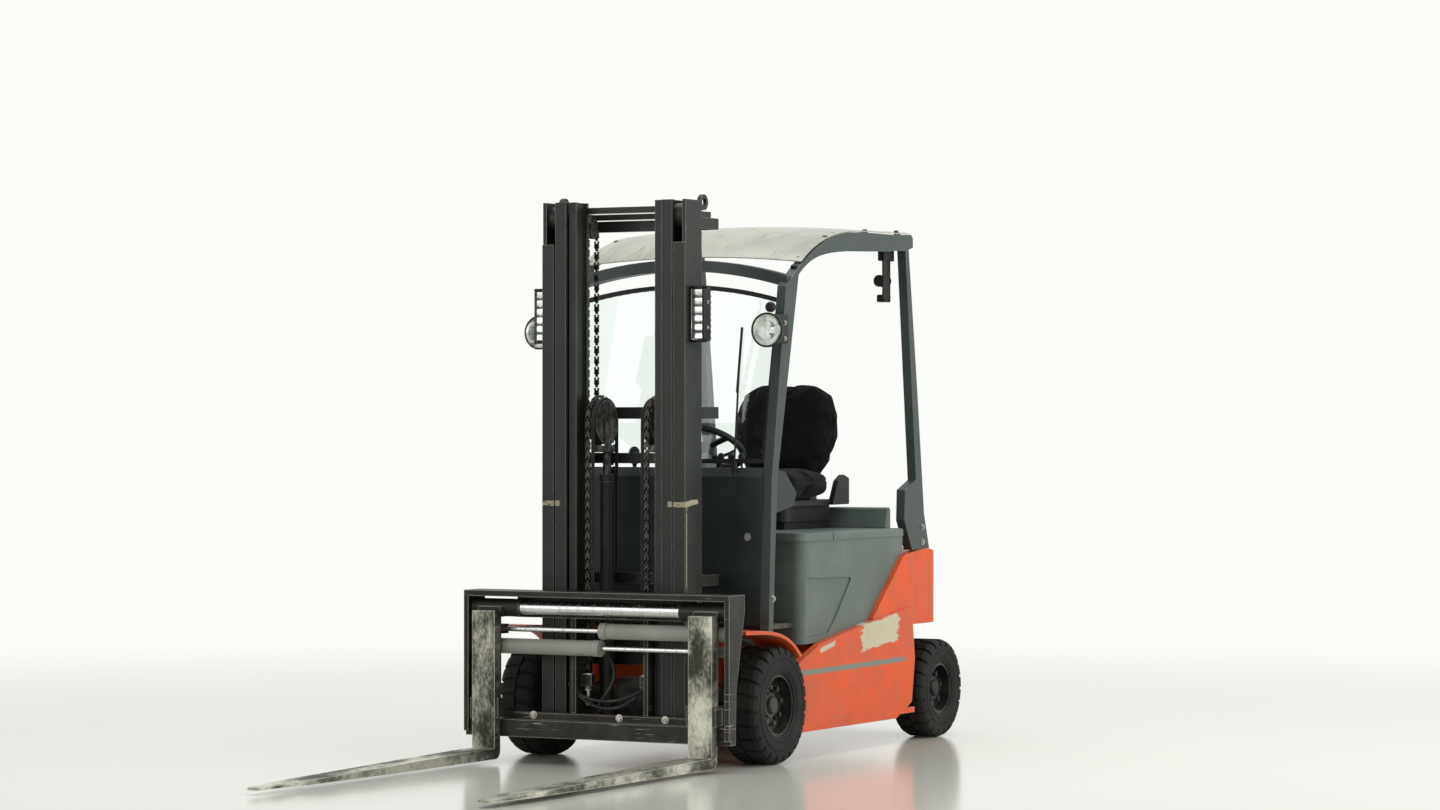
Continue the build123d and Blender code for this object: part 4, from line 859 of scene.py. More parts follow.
bolt_tree, given, result = new_tree(
    "bolts", [("Head", FLOAT, 0.009), ("Height", FLOAT, 0.007), ("Washer", FLOAT, 0.014)])
head = add(bolt_tree, "GeometryNodeMeshCylinder",
           {"Vertices": 6, "Radius": given["Head"], "Depth": given["Height"]}).outputs["Mesh"]
half_height = maths(bolt_tree, "MULTIPLY", given["Height"], 0.5)
head_up = add(bolt_tree, "ShaderNodeCombineXYZ", {2: half_height}).outputs[0]
head = add(bolt_tree, "GeometryNodeTransform", {"Geometry": head, "Translation": head_up}).outputs[0]
washer_t = maths(bolt_tree, "MULTIPLY", given["Height"], WASHER_SHARE)
washer = add(bolt_tree, "GeometryNodeMeshCylinder",
             {"Vertices": 14, "Radius": given["Washer"], "Depth": washer_t}).outputs["Mesh"]
one_bolt = add(bolt_tree, "GeometryNodeJoinGeometry")
bolt_tree.links.new(head, one_bolt.inputs[0])
bolt_tree.links.new(washer, one_bolt.inputs[0])
facing = add(bolt_tree, "GeometryNodeInputNamedAttribute", {"Name": "facing"},
             data_type="FLOAT_VECTOR").outputs[0]
aim = add(bolt_tree, "FunctionNodeAlignRotationToVector", {"Vector": facing}, axis="Z").outputs[0]
points = add(bolt_tree, "GeometryNodeMeshToPoints", {"Mesh": given["Seeds"]}).outputs[0]
bolts_placed = add(bolt_tree, "GeometryNodeInstanceOnPoints",
                   {"Points": points, "Instance": one_bolt.outputs[0], "Rotation": aim}).outputs[0]
end_tree(bolt_tree, bolts_placed, given, result)


def bolts(name, body, places, facing, head=0.009, height=0.007, washer=0.014, finish=None):
    """A set of bolts that all face one way."""
    grow(name, seed_points(places, [facing] * len(places)), bolt_tree, body, finish or zinc, "grey_steel", 30,
         Head=head, Height=height, Washer=washer)


def ring_of_points(centre, radius, count, axis, start=0.0):
    """Points on a circle round an axis through centre."""
    points = []
    for k in range(count):
        a = start + 2 * math.pi * k / count
        u, v = radius * math.cos(a), radius * math.sin(a)
        points.append(Vector(centre) + Vector({"x": (0, u, v), "y": (u, 0, v), "z": (u, v, 0)}[axis]))
    return points


# %% Hub caps and wheel nuts
DISC_INSET = 0.034
CAP_SINK = 0.004
HUB_CAP = [(0.0, 0.0001), (0.0, 0.034), (0.016, 0.033), (0.021, 0.029), (0.023, 0.022), (0.023, 0.0001)]
for end, nut_ring, nut_count in (("front", 0.070, 8), ("rear", 0.060, 6)):
    for name, side in sides.items():
        low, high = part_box(f"{end}_{name}_rim")
        middle = (low + high) / 2
        disc_x = (high.x if side > 0 else low.x) - side * DISC_INSET
        shape = bmesh.new()
        profile = [(side * along - side * CAP_SINK, level) for along, level in HUB_CAP]
        add_turned(shape, profile, (disc_x, middle.y, middle.z), "x", 40)
        keep(f"{end}_{name}_hub_cap", closed_mesh(shape), f"{end}_{name}_wheel", rim_paint)
        places = ring_of_points((disc_x - side * CAP_SINK, middle.y, middle.z), nut_ring, nut_count, "x", 0.2)
        bolts(f"{end}_{name}_wheel_nuts", f"{end}_{name}_wheel", places, (side, 0, 0),
              0.010, 0.015, 0.014, rim_paint)

# %% [markdown]
# ## Seat
# The driver's seat is a thick black cushion and a rounded back, both padded cloth. Padding swells a
# cover until the cloth is taut, which is just what Blender's cloth solver does with a little pressure
# inside. The pad starts a bit thinner than it should end, is remeshed to even cells so that it swells
# evenly, and no point may move further than a cap. Seams come last, pressed in along the edge where
# panels meet.
# %% Swelling a pad
SWELL_CAP = 0.022


def swell(mesh, name, voxel=0.006, pressure=4.0, frames=20):
    """Remeshes a closed form and lets cloth pressure round it."""
    pad = bpy.data.objects.new(name, mesh)
    scene_objects.link(pad)
    remesh = pad.modifiers.new("cells", "REMESH")
    remesh.mode = "VOXEL"
    remesh.voxel_size = voxel
    bpy.context.view_layer.update()
    start = bpy.data.meshes.new_from_object(pad.evaluated_get(bpy.context.evaluated_depsgraph_get()))
    pad.modifiers.clear()
    pad.data = start
    cloth = pad.modifiers.new("padding", "CLOTH")
    cloth.settings.quality = 5
    cloth.settings.mass = 0.4
    cloth.settings.tension_stiffness = 18
    cloth.settings.compression_stiffness = 18
    cloth.settings.shear_stiffness = 8
    cloth.settings.bending_stiffness = 1.5
    cloth.settings.use_pressure = True
    cloth.settings.uniform_pressure_force = pressure
    cloth.settings.effector_weights.gravity = 0
    cloth.collision_settings.use_collision = False
    for frame_number in range(1, frames + 1):
        bpy.context.scene.frame_set(frame_number)
    swollen = bpy.data.meshes.new_from_object(pad.evaluated_get(bpy.context.evaluated_depsgraph_get()))
    pad.modifiers.clear()
    for rest, moved in zip(start.vertices, swollen.vertices):
        step = moved.co - rest.co
        if step.length > SWELL_CAP:
            moved.co = rest.co + step * (SWELL_CAP / step.length)
    pad.data = swollen
    bpy.context.scene.frame_set(1)
    smooth = pad.modifiers.new("finer", "SUBSURF")
    smooth.levels = smooth.render_levels = 1
    bpy.context.view_layer.update()
    done = bpy.data.meshes.new_from_object(pad.evaluated_get(bpy.context.evaluated_depsgraph_get()))
    pad.modifiers.clear()
    bpy.data.objects.remove(pad)
    print(name, len(done.vertices), "points after swelling")
    return done


def press_seam(mesh, distance_of, depth=0.0035, width=0.0045):
    """Pushes points in where distance_of says that a seam is near."""
    normals = [v.normal.copy() for v in mesh.vertices]
    for v, normal in zip(mesh.vertices, normals):
        near = distance_of(v.co) / width
        if abs(near) < 3:
            v.co -= normal * depth * math.exp(-near * near)


def fit_in(mesh, low, high):
    """Scales a swollen pad back so that it just fills its solid's box."""
    points = np.array([v.co for v in mesh.vertices])
    least, most = points.min(axis=0), points.max(axis=0)
    scale = (np.array(high) - np.array(low)) / (most - least)
    points = np.array(low) + (points - least) * scale
    mesh.vertices.foreach_set("co", points.ravel())
    mesh.update()


# %% The cushion
INSET = 0.018
low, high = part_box("seat_cushion")
shape = bmesh.new()
add_block(shape, (low.x + INSET, low.y + INSET, low.z + 0.008),
          (high.x - INSET, high.y - INSET, high.z - INSET), 0.034, 4)
cushion_mesh = swell(closed_mesh(shape), "cushion pad")
fit_in(cushion_mesh, low, high)
rim_z = low.z + 0.62 * (high.z - low.z)
press_seam(cushion_mesh, lambda p: p.z - rim_z)
inner_half = 0.155
press_seam(cushion_mesh, lambda p: (abs(p.x) - inner_half) if p.z > rim_z else 1.0, 0.004, 0.006)
cushion = keep("seat_cushion_pad", cushion_mesh, "hood", seat_cloth, 180)
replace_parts(cushion, "seat_cushion")

# %% The back
low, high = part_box("seat_back")
lean = math.radians(8)
back_t = 0.095
half_tall = (high.z - low.z - back_t * math.sin(lean)) / 2 / math.cos(lean)
back_centre = (low + high) / 2
outline = [(-0.150, -1.0), (-0.196, -0.62), (-0.226, -0.12), (-0.220, 0.38), (-0.190, 0.76),
           (-0.120, 0.96), (0.0, 1.0)]
outline += [(-x, z) for x, z in reversed(outline[:-1])]
shape = bmesh.new()
rows = []
PUFF = ((-0.5, 0.030), (-0.42, 0.012), (-0.2, 0.004), (0.2, 0.004), (0.42, 0.012), (0.5, 0.030))
for level, inset in PUFF:
    ring = []
    for x, z in outline:
        shrink = 1 - inset / 0.2
        place = Vector((x * shrink, level * (back_t - 0.022), z * half_tall * shrink * 0.97))
        place.rotate(Matrix.Rotation(-lean, 3, "X"))
        ring.append(shape.verts.new(place + back_centre))
    rows.append(ring)
for a, b in zip(rows, rows[1:]):
    for k in range(len(outline)):
        nxt = (k + 1) % len(outline)
        shape.faces.new((a[k], a[nxt], b[nxt], b[k]))
shape.faces.new(rows[0])
shape.faces.new(rows[-1])
back_mesh = swell(closed_mesh(shape), "back pad")
fit_in(back_mesh, low, high)


def back_seam(point):
    """Distance from the seam that runs round the middle of the back's edge."""
    local = point - back_centre
    return local.y * math.cos(lean) - local.z * math.sin(lean)


press_seam(back_mesh, lambda p: back_seam(p) + 0.018)
back = keep("seat_back_pad", back_mesh, "hood", seat_cloth, 180)
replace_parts(back, "seat_back")

# %% [markdown]
# ## Leaf chains
# The lifting chains are leaf chains: stacks of flat waisted plates on pins, without rollers. A row of
# copies along a pulley must turn with it, so the seeds carry the direction of the chain at each pin,
# and a tree puts a stack of four plates on each. The chain follows the line of its solid, which it
# replaces.
# %% The link tree
LINK_PITCH = 0.019


def link_plate(x0, x1, pitch, tall):
    """One waisted plate, flat to X, from pin to pin along Z."""
    shape = bmesh.new()
    edge = []
    for k in range(5):
        a = math.pi * k / 4
        edge.append((tall * math.cos(a), pitch / 2 + tall * math.sin(a) * 0.9))
    edge.append((-tall * 0.62, 0.0))
    for k in range(5):
        a = math.pi + math.pi * k / 4
        edge.append((tall * math.cos(a), -pitch / 2 + tall * math.sin(a) * 0.9))
    edge.append((tall * 0.62, 0.0))
    rings = [[shape.verts.new((x, y, z)) for y, z in edge] for x in (x0, x1)]
    for k in range(len(edge)):
        nxt = (k + 1) % len(edge)
        shape.faces.new((rings[0][k], rings[0][nxt], rings[1][nxt], rings[1][k]))
    for ring in rings:
        shape.faces.new(ring)
    return shape


def link_object(width, thick):
    """A stack of plates: two outer and two inner, the inner pair half a pitch on."""
    whole = bmesh.new()
    plate = width / 5.2
    for k, shift in ((-1.8, 0), (-0.6, 0.5), (0.6, 0.5), (1.8, 0)):
        part = link_plate(k * plate - plate * 0.42, k * plate + plate * 0.42, LINK_PITCH, thick / 2)
        for v in part.verts:
            v.co.z += shift * LINK_PITCH
        holder = bpy.data.meshes.new("plate")
        part.to_mesh(holder)
        part.free()
        whole.from_mesh(holder)
        bpy.data.meshes.remove(holder)
    pin_r = thick * 0.22
    pin = [(-width / 2, 0.0001), (-width / 2, pin_r), (width / 2, pin_r), (width / 2, 0.0001)]
    add_turned(whole, pin, (0, 0, LINK_PITCH / 2), "x", 8)
    return bpy.data.objects.new("chain link", closed_mesh(whole))


link_tree, given, result = new_tree("leaf chain", [("Link", "NodeSocketObject", None)])
link_shape = add(link_tree, "GeometryNodeObjectInfo", {"Object": given["Link"]},
                 transform_space="ORIGINAL").outputs["Geometry"]
facing = add(link_tree, "GeometryNodeInputNamedAttribute", {"Name": "facing"},
             data_type="FLOAT_VECTOR").outputs[0]
turn = add(link_tree, "FunctionNodeEulerToRotation", {0: facing}).outputs[0]
points = add(link_tree, "GeometryNodeMeshToPoints", {"Mesh": given["Seeds"]}).outputs[0]
links_placed = add(link_tree, "GeometryNodeInstanceOnPoints",
                   {"Points": points, "Instance": link_shape, "Rotation": turn}).outputs[0]
end_tree(link_tree, links_placed, given, result)


# %% Chains over their pulleys
def chain_line(x, low, high, radius, front_end, rear_end):
    """Places and turns of the links: up the front run, over the pulley, down the rear run."""
    wheel_y = (low.y + high.y) / 2
    wheel_z = high.z - radius
    places, turns = [], []
    run = wheel_z - front_end
    count = int(run / (2 * LINK_PITCH))
    for k in range(count):
        places.append((x, wheel_y - radius, front_end + (k + 0.5) * run / count))
        turns.append((0, 0, 0))
    steps = int(math.pi * radius / (2 * LINK_PITCH))
    for k in range(steps):
        a = math.pi * (k + 0.5) / steps
        places.append((x, wheel_y - radius * math.cos(a), wheel_z + radius * math.sin(a)))
        turns.append((-a, 0, 0))
    run = wheel_z - rear_end
    count = int(run / (2 * LINK_PITCH))
    for k in range(count):
        places.append((x, wheel_y + radius, wheel_z - (k + 0.5) * run / count))
        turns.append((math.pi, 0, 0))
    return places, turns


CHAIN_WIDTH = 0.020
CHAIN_THICK = 0.012
CHAIN_SLACK = 0.0005
for node_name, body, rear_end in (("lift_chains", "free_lift", 1.0), ("main_chains", "mast_middle", 1.345)):
    low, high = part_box(node_name)
    chain_x = high.x - CHAIN_WIDTH / 2
    pulley_r = (high.y - low.y) / 2 - CHAIN_THICK / 2 - CHAIN_SLACK
    links = link_object(CHAIN_WIDTH, CHAIN_THICK)
    places, turns = [], []
    for side in (1, -1):
        more_places, more_turns = chain_line(side * chain_x, low, high, pulley_r, low.z + 0.006, rear_end)
        places += [(px, py, pz - CHAIN_SLACK) for px, py, pz in more_places]
        turns += more_turns
    made = grow(f"{node_name}_links", seed_points(places, turns), link_tree, body, chain_steel,
                "chain_steel", 30, Link=links)
    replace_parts(made, node_name)
    bpy.data.objects.remove(links)


# %% [markdown]
# ## Lamps
# The round working lamps are a black bowl with a bright dish behind a domed lens, and a steel shield
# at their side. The solid is only a drum there, so both lamp solids are replaced: bowl, dish and lens
# are thin profiles turned round the lamp's own axis, open in front, because light has to get in before
# a dish can sparkle. The mast's bar lamps are a ribbed housing with a column of small square cells
# under one flat lens.
# %% Helpers for fitting pieces
lamp_dish = polished("lamp dish chrome", (0.80, 0.82, 0.79, 1), "x", 0.14)
ABOVE = 3.0
IN_FRONT = -2.0
BEHIND = BESIDE = 1.0


def hit(node_name, start, way):
    """Where a ray first meets a solid of the frame, or None."""
    found, place = nodes[node_name].ray_cast(Vector(start), Vector(way))[:2]
    return place if found else None


def side_block(shape, side, x, y, z, radius=0.003, segments=2, turn=None):
    """A rounded block whose x pair is given for the left side and mirrored for the right."""
    xs = sorted((side * x[0], side * x[1]))
    add_block(shape, (xs[0], y[0], z[0]), (xs[1], y[1], z[1]), radius, segments, turn)


def scaled(profile, radius):
    """A profile whose second number is a share of a radius."""
    return [(along, level * radius) for along, level in profile]


# %% Round lamps
low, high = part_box("head_lamps")
lamp_r = (high.z - low.z) / 2
lamp_x, lamp_y, lamp_z = high.x - lamp_r, low.y, (low.z + high.z) / 2
shield_x = (lamp_x - 0.010, lamp_x - 0.002)
BOWL = [(0.0, 1.0), (0.006, 1.0), (0.022, 0.97), (0.045, 0.79), (0.056, 0.38), (0.057, 0.002),
        (0.051, 0.002), (0.050, 0.33), (0.040, 0.71), (0.018, 0.89), (0.0, 0.92)]
DISH = [(0.004, 0.90), (0.024, 0.74), (0.040, 0.43), (0.046, 0.002), (0.0445, 0.002), (0.0385, 0.41),
        (0.0225, 0.72), (0.0025, 0.885)]
DOME = [(0.0, 0.91), (-0.0035, 0.72), (-0.0055, 0.38), (-0.0060, 0.002), (-0.0030, 0.002), (-0.0026, 0.38),
        (-0.0008, 0.70), (0.0, 0.84)]
BULB = [(0.020, 0.002), (0.020, 0.10), (0.026, 0.15), (0.046, 0.15), (0.046, 0.002)]
KNOB = [(-0.012, 0.002), (-0.012, 0.22), (-0.006, 0.30), (0.006, 0.30), (0.010, 0.22), (0.010, 0.002)]


def lamp_shell(shape, side):
    """The bowl, its shield, and the small knob on a stalk above it."""
    knob_x = side * (lamp_x - 0.012)
    add_turned(shape, scaled(BOWL, lamp_r), (side * lamp_x, lamp_y, lamp_z), "y", 56)
    side_block(shape, side, shield_x, (lamp_y + 0.040, high.y), (low.z + 0.018, high.z - 0.004), 0.0035, 3)
    add_turned(shape, scaled(KNOB, lamp_r), (knob_x, lamp_y + 0.055, high.z + 0.022), "y", 28)
    add_bar(shape, [(knob_x, lamp_y + 0.060, high.z + 0.020),
                    (side * (lamp_x - 0.014), high.y - 0.020, high.z - 0.022)], 0.005, 10)


def lamp_dishes(shape, side):
    """The reflector and the bulb's cap."""
    for profile in (DISH, BULB):
        add_turned(shape, scaled(profile, lamp_r), (side * lamp_x, lamp_y, lamp_z), "y", 48)


def lamp_domes(shape, side):
    """The clear lens."""
    add_turned(shape, scaled(DOME, lamp_r), (side * lamp_x, lamp_y, lamp_z), "y", 56)


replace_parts(keep("head_lamp_shells", mirrored(lamp_shell), "chassis", black_plastic),
            "head_lamps")
keep("head_lamp_dishes", mirrored(lamp_dishes), "chassis", lamp_dish)
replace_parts(keep("head_lamp_domes", mirrored(lamp_domes), "chassis", lamp_glass),
            "head_lamp_lenses")
for label, side in sides.items():
    places = [(side * shield_x[1], high.y - 0.030, lamp_z + up) for up in (-0.03, 0.03)]
    bolts(f"head_lamp_bolts_{label}", "chassis", places, (side, 0, 0), 0.006, 0.005, 0.009)
print("round lamps of radius", round(lamp_r, 3))

# %% Bar lamps on the mast
low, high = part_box("mast_lamps")
lens_low, lens_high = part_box("mast_lamp_lenses")
bar_x = (high.x - 0.060, high.x)
glass_x = (bar_x[0] + 0.008, lens_high.x)
CELLS = 6
RIBS = 9
RIM_DEPTH = 0.024
cell_pitch = (lens_high.z - lens_low.z) / CELLS


def bar_housing(shape, side):
    """A deep rounded box with cooling ribs behind and a raised rim round the lens."""
    side_block(shape, side, (bar_x[0] + 0.004, bar_x[1] - 0.004), (low.y + 0.012, high.y - 0.008),
               (low.z + 0.004, high.z - 0.004), 0.005, 3)
    for k in range(RIBS):
        z = low.z + 0.014 + k * (high.z - low.z - 0.032) / (RIBS - 1)
        side_block(shape, side, (bar_x[0] + 0.006, bar_x[1] - 0.006), (high.y - 0.014, high.y),
                   (z, z + 0.004), 0.001)
    for x in ((bar_x[0], glass_x[0] + 0.001), (glass_x[1] - 0.001, bar_x[1])):
        side_block(shape, side, x, (low.y, low.y + RIM_DEPTH), (low.z, high.z), 0.002)
    for z in ((low.z, lens_low.z + 0.001), (lens_high.z - 0.001, high.z)):
        side_block(shape, side, bar_x, (low.y, low.y + RIM_DEPTH), z, 0.002)


def bar_cells(shape, side):
    """Small square dishes in a column."""
    for k in range(CELLS):
        z = lens_low.z + k * cell_pitch
        side_block(shape, side, (glass_x[0] + 0.003, glass_x[1] - 0.003), (low.y + 0.003, low.y + 0.014),
                   (z + 0.0025, z + cell_pitch - 0.0025), 0.005, 3)


def bar_glass(shape, side):
    """The flat lens."""
    side_block(shape, side, glass_x, (lens_low.y, lens_high.y - 0.0005), (lens_low.z, lens_high.z), 0.002)


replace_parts(keep("mast_lamp_housings", mirrored(bar_housing), "mast_outer", black_plastic),
            "mast_lamps")
keep("mast_lamp_cells", mirrored(bar_cells), "mast_outer", lamp_dish)
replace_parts(keep("mast_lamp_glass", mirrored(bar_glass), "mast_outer", lamp_glass),
            "mast_lamp_lenses")
for label, side in sides.items():
    places = [(side * (bar_x[1] - 0.004), (low.y + high.y) / 2, low.z + up) for up in (0.055, 0.150)]
    bolts(f"mast_lamp_bolts_{label}", "mast_outer", places, (side, 0, 0), 0.0045, 0.004, 0.007)
print("bar lamps with", CELLS, "cells each")

# %% Rear lamp
low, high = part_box("rear_lamp")
shape = bmesh.new()
add_block(shape, (high.x - 0.030, low.y + 0.012, high.z - 0.060), (high.x, high.y, high.z), 0.003)
add_block(shape, (high.x - 0.010, low.y + 0.010, low.z + 0.012),
          (high.x - 0.002, high.y - 0.030, high.z - 0.050), 0.003)
drum = [(0.0, 0.002), (0.0, 0.020), (0.004, 0.024), (0.020, 0.024), (0.022, 0.021), (0.026, 0.021),
        (0.028, 0.024), (0.046, 0.024), (0.048, 0.021), (0.052, 0.021), (0.054, 0.024), (0.070, 0.024),
        (0.078, 0.016), (0.078, 0.002)]
add_turned(shape, drum, (low.x + 0.0245, low.y + 0.014, low.z + 0.085), "y", 40)
add_block(shape, (low.x + 0.008, low.y + 0.030, low.z),
          (high.x - 0.006, high.y - 0.020, low.z + 0.030), 0.004)
add_bar(shape, [(low.x + 0.03, high.y - 0.02, low.z + 0.09), (low.x + 0.03, high.y - 0.004, low.z + 0.10),
                (high.x - 0.02, high.y - 0.006, low.z + 0.15),
                (high.x - 0.012, high.y - 0.02, high.z - 0.05)], 0.0035, 10)
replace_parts(keep("rear_lamp_drum", closed_mesh(shape), "chassis", black_plastic),
            "rear_lamp")
print("rear lamp", [round(v, 3) for v in high - low])

# %% [markdown]
# ## Controls
# The steering column wears a grey-green moulded casing, and small levers with round knobs stand on the
# dash. They are soft shapes with no flat face to measure, so each is a rounded block leaned with the
# column, or a profile turned round its own stalk. They carry no lettering.
# %% Column casing, levers and knobs
low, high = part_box("steering_wheel")
wheel_middle = (low + high) / 2
column_way = Vector((0, 1, 1.6)).normalized()
column_turn = Vector((0, 0, 1)).rotation_difference(column_way).to_matrix()
casing = wheel_middle - column_way * 0.125
lower_casing = casing - column_way * 0.10
shape = bmesh.new()
for middle, half, radius, segments in ((casing, Vector((0.052, 0.046, 0.078)), 0.022, 5),
                                       (lower_casing, Vector((0.036, 0.034, 0.105)), 0.016, 4)):
    add_block(shape, middle - half, middle + half, radius, segments, column_turn)
keep("column_casing", closed_mesh(shape), "chassis", hood_plastic)
STALK_KNOB = [(0.0, 0.0002), (0.0, 0.010), (0.040, 0.007), (0.080, 0.008), (0.096, 0.019), (0.120, 0.024),
              (0.142, 0.019), (0.152, 0.008), (0.153, 0.0002)]
SMALL_KNOB = [(0.0, 0.0002), (0.0, 0.005), (0.075, 0.004), (0.082, 0.011), (0.098, 0.014), (0.110, 0.009),
              (0.113, 0.0002)]
lever_places = [(-0.248, 0.42, STALK_KNOB)] + [(x, 0.40, SMALL_KNOB) for x in (0.150, 0.195, 0.240)]
shape = bmesh.new()
for x, y, profile in lever_places:
    top = hit("front_cowl", (x, y, ABOVE), (0, 0, -1))
    if top:
        add_turned(shape, profile, (x, y, top.z - 0.004), "z", 24)
add_bar(shape, [wheel_middle - column_way * 0.05 + Vector((0.04, 0, 0)),
                wheel_middle - column_way * 0.045 + Vector((0.10, -0.01, 0.0)),
                wheel_middle - column_way * 0.03 + Vector((0.145, -0.02, 0.01))], 0.006, 10)
keep("dash_levers", closed_mesh(shape), "chassis", black_plastic)
print("casing and", len(lever_places), "levers")

# %% [markdown]
# ## Hoses and fittings
# Two rubber hoses come down behind the left column of the mast and turn in towards the tilt cylinders;
# short ones join the positioner's cylinders. Both ends of each are fixed in a fitting, so they are
# plain bars along a smooth line, and plated clamps with hexagon nuts hold them.
# %% Hoses of the mast
HOSE_R = 0.0058
HOSE_STEP = 0.008
CLAMP_HALF = 0.026
CLAMP_LEVELS = (0.925, 1.28, 1.52)
hose_x = 0.264
column_back = hit("mast_outer", (hose_x, BEHIND, 1.20), (0, -1, 0))
hose_y = column_back.y + 0.0065
print("hoses at y", round(hose_y, 3))
shape = bmesh.new()
for step in (-HOSE_STEP, HOSE_STEP):
    x = hose_x + step
    add_bar(shape, [(x, hose_y - 0.02, 1.60), (x, hose_y, 1.57), (x, hose_y, 1.20), (x, hose_y, 0.90),
                    (x - step, hose_y, 0.82), (x + 0.020, hose_y, 0.70), (x + 0.030, hose_y, 0.62)],
            HOSE_R, 12)
keep("column_hoses", closed_mesh(shape), "mast_outer", hose_rubber)
shape = bmesh.new()
for z in CLAMP_LEVELS:
    add_block(shape, (hose_x - CLAMP_HALF, hose_y - 0.010, z - 0.010),
              (hose_x + CLAMP_HALF, hose_y + 0.0075, z + 0.010), 0.003)
keep("hose_clamps", closed_mesh(shape), "mast_outer", zinc)
places = [(hose_x + CLAMP_HALF, hose_y - 0.001, z) for z in CLAMP_LEVELS]
bolts("hose_clamp_nuts", "mast_outer", places, (1, 0, 0), 0.005, 0.004, 0.007)

# %% Chain anchors and hoses on the carriage
ANCHOR_ROD = [(0.0, 0.0002), (0.0, 0.0075), (0.085, 0.0075), (0.085, 0.0002)]
chain_low, chain_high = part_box("lift_chains")
anchor_x = chain_high.x - CHAIN_WIDTH / 2
anchor_y = chain_low.y + 0.008
shape = bmesh.new()
for side in (1, -1):
    side_block(shape, side, (anchor_x - 0.020, anchor_x + 0.020), (anchor_y - 0.012, anchor_y + 0.014),
               (chain_low.z - 0.036, chain_low.z + 0.004), 0.003)
    add_turned(shape, ANCHOR_ROD, (side * anchor_x, anchor_y, chain_low.z - 0.118), "z", 16)
keep("chain_anchors", closed_mesh(shape), "carriage", zinc)
places = [(side * anchor_x, anchor_y, chain_low.z - z) for side in (1, -1) for z in (0.060, 0.110)]
bolts("chain_anchor_nuts", "carriage", places, (0, 0, 1), 0.013, 0.011, 0.016)
CARRIAGE_HOSE_R = 0.0065
hose_front = anchor_y - 0.035
hose_runs = [((-0.19, 0.30), (-0.04, 0.20), (0.11, 0.27), 0.07),
             ((-0.17, 0.28), (-0.01, 0.23), (0.15, 0.30), 0.05),
             ((-0.06, 0.44), (0.03, 0.33), (-0.05, 0.20), 0.0)]
shape = bmesh.new()
for start, middle, end, dip in hose_runs:
    line = [start, (start[0] + 0.03, start[1] - dip * 0.6), middle, (end[0] - 0.03, end[1] - dip * 0.6), end]
    forward = (0.0, 0.008, 0.010, 0.008, 0.0)
    add_bar(shape, [(x, hose_front - out, z) for (x, z), out in zip(line, forward)], CARRIAGE_HOSE_R, 12)
keep("carriage_hoses", closed_mesh(shape), "carriage", hose_rubber)
print(len(hose_runs), "hoses on the carriage, anchors at x", round(anchor_x, 3))

# %% [markdown]
# ## Bolts and knobs
# Screws tell the eye how big a machine is. Their places are read from the photograph, and a ray finds
# the plate that each one sits on, so a bolt never floats when the frame changes.
# %% Bolts on plates
def bolts_on(name, body, node_name, starts, way, **sizes):
    """Bolts where rays from the given starts meet a solid."""
    places = [hit(node_name, start, way) for start in starts]
    found = [p for p in places if p]
    if found:
        bolts(name, body, found, tuple(-c for c in way), **sizes)
    print(name, len(found), "of", len(starts), "places found")


FOOT_BOLTS = ((1.49, 0.86), (1.49, 0.80), (0.185, 0.62), (0.190, 0.56))
for label, side in sides.items():
    bolts_on(f"guard_foot_bolts_{label}", "chassis", "overhead_guard",
             [(side * BESIDE, y, z) for y, z in FOOT_BOLTS],
             (-side, 0, 0), head=0.009, height=0.007, washer=0.013)
bolts_on("rail_bolts", "carriage", "positioner_frame",
         [(x, IN_FRONT, 0.182) for x in (-0.30, 0.073, 0.27)],
         (0, 1, 0), head=0.010, height=0.008, washer=0.015)
bolts_on("cowl_studs", "chassis", "front_cowl",
         [(side * 0.395, IN_FRONT, 0.853) for side in (1, -1)],
         (0, 1, 0), head=0.006, height=0.008, washer=0.015)

# %% Roof knobs
ROOF_KNOB = [(0.0, 0.0002), (0.0, 0.015), (0.006, 0.014), (0.011, 0.009), (0.013, 0.0002)]
RAIL_X = 0.468
shape = bmesh.new()
for side in (1, -1):
    for y in (0.40, 0.66, 1.00, 1.30):
        top = hit("overhead_guard", (side * RAIL_X, y, ABOVE), (0, 0, -1))
        if top and top.z < cad_high.z - 0.02:
            add_turned(shape, ROOF_KNOB, (side * RAIL_X, y, top.z - 0.001), "z", 20)
knobs = keep("roof_knobs", closed_mesh(shape), "chassis", black_plastic)
print("roof knobs", len(knobs.data.polygons), "faces")

# %% [markdown]
# ## Studio
# The truck stands on a plain pale floor with a soft gloss. Walls would throw shadows of their own, so
# the floor fades to plain white with distance instead, and the world is white only where the camera, a
# reflection or glass sees it. The lamps stay soft: a big one overhead, one from the right, a weaker
# one in front.
# %% Floor, world and lamps
FLOOR_HALF = 40.0
FADE_START, FADE_END = 2.6, 9.0
BACKDROP_WHITE = (0.97, 0.98, 0.95, 1)


def floor_material():
    """Pale glossy floor that turns into white background far away."""
    material, tree, _ = start_material("studio floor", Base_Color=(0.62, 0.64, 0.575, 1), Roughness=0.16)
    place = add(tree, "ShaderNodeTexCoord").outputs["Object"]
    away = add(tree, "ShaderNodeVectorMath", {0: place}, operation="LENGTH").outputs["Value"]
    white = add(tree, "ShaderNodeEmission", {"Color": BACKDROP_WHITE, "Strength": 1.0}).outputs[0]
    far = ramp(tree, away, FADE_START, FADE_END)
    own = tree.nodes["Principled BSDF"].outputs[0]
    both = add(tree, "ShaderNodeMixShader", {0: far, 1: own, 2: white}).outputs[0]
    feed(tree, tree.nodes["Material Output"].inputs["Surface"], both)
    return material


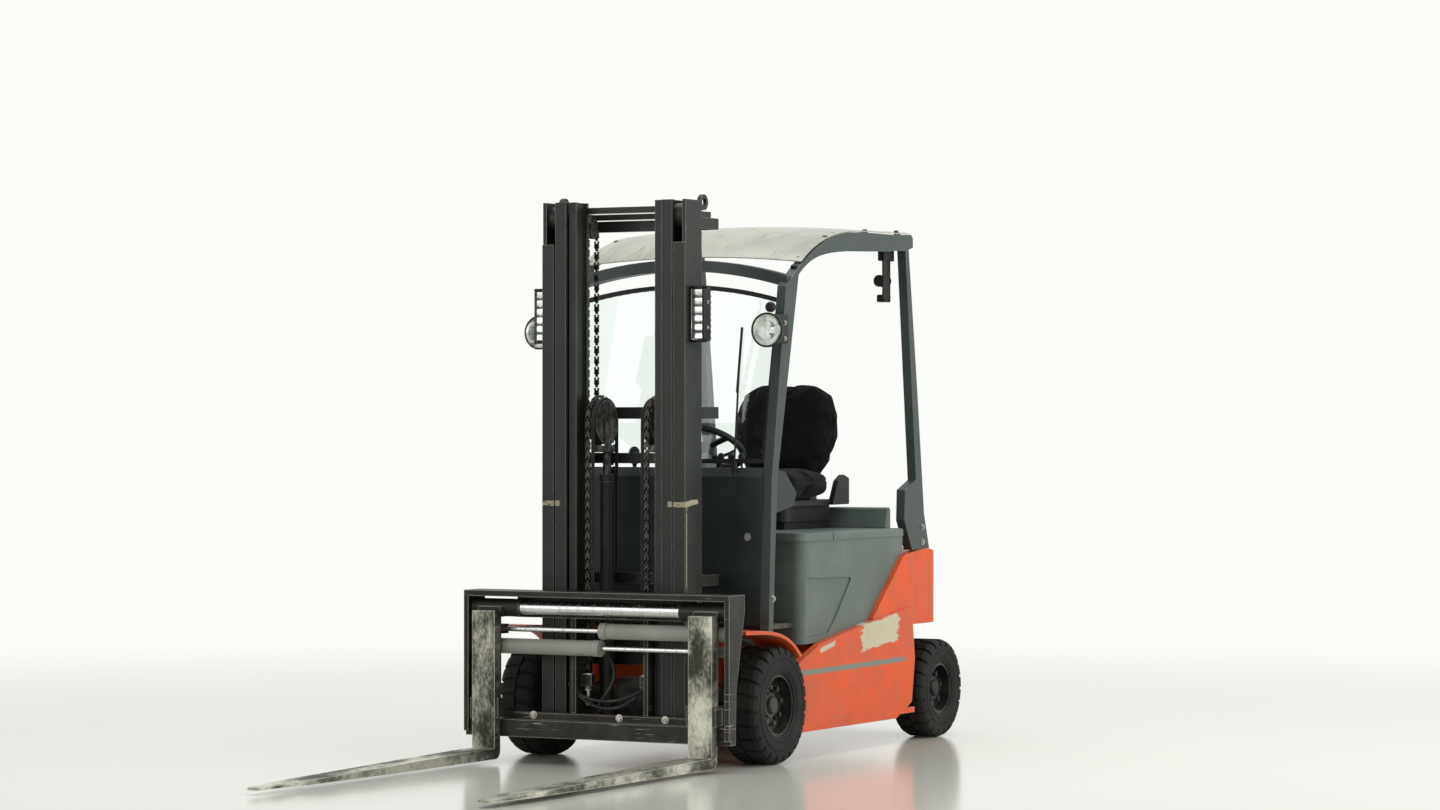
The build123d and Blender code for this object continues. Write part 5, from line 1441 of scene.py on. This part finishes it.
def lay_floor():
    """A large square plane at the wheels' feet."""
    mesh = bpy.data.meshes.new("studio_floor")
    corners = [(-1, -1), (1, -1), (1, 1), (-1, 1)]
    mesh.from_pydata([(x * FLOOR_HALF, y * FLOOR_HALF, 0) for x, y in corners], [], [(0, 1, 2, 3)])
    mesh.materials.append(floor_material())
    floor = bpy.data.objects.new("studio_floor", mesh)
    bpy.context.scene.collection.objects.link(floor)
    floor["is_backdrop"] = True


def fill_world(seen, ambient):
    """White where it is seen, dimmer where it lights."""
    world = bpy.data.worlds.new("white room")
    bpy.context.scene.world = world
    world.use_nodes = True
    tree = world.node_tree
    tree.nodes.clear()
    path = add(tree, "ShaderNodeLightPath").outputs
    direct = maths(tree, "MAXIMUM", path["Is Camera Ray"],
                   maths(tree, "MAXIMUM", path["Is Glossy Ray"], path["Is Transmission Ray"]))
    strength = mix_value(tree, direct, ambient, seen)
    backdrop = add(tree, "ShaderNodeBackground", {"Color": BACKDROP_WHITE, "Strength": strength})
    out = tree.nodes.new("ShaderNodeOutputWorld")
    tree.links.new(backdrop.outputs[0], out.inputs["Surface"])


def hang_lamp(name, place, aim, size, watts, colour=(1, 1, 1)):
    """A square soft lamp that looks at a point."""
    data = bpy.data.lights.new(name, "AREA")
    data.shape = "SQUARE"
    data.size = size
    data.energy = watts
    data.color = colour
    lamp = bpy.data.objects.new(name, data)
    lamp.location = place
    lamp.rotation_euler = (Vector(place) - Vector(aim)).to_track_quat("Z", "Y").to_euler()
    bpy.context.scene.collection.objects.link(lamp)


lay_floor()
fill_world(seen=1.0, ambient=0.55)
hang_lamp("overhead", (0.5, 0.8, 6.5), (0, 0.6, 0.5), 6.0, 260)
hang_lamp("right_wall", (7.0, 1.5, 2.6), (0, 0.6, 1.0), 4.5, 240)
hang_lamp("front_fill", (-2.5, -7.0, 3.2), (0, 0, 1.0), 4.0, 80)
print("studio lit")

# %% Measure the finished scene
low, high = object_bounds()
print("visual box", [round(v, 3) for v in (*low, *high)])
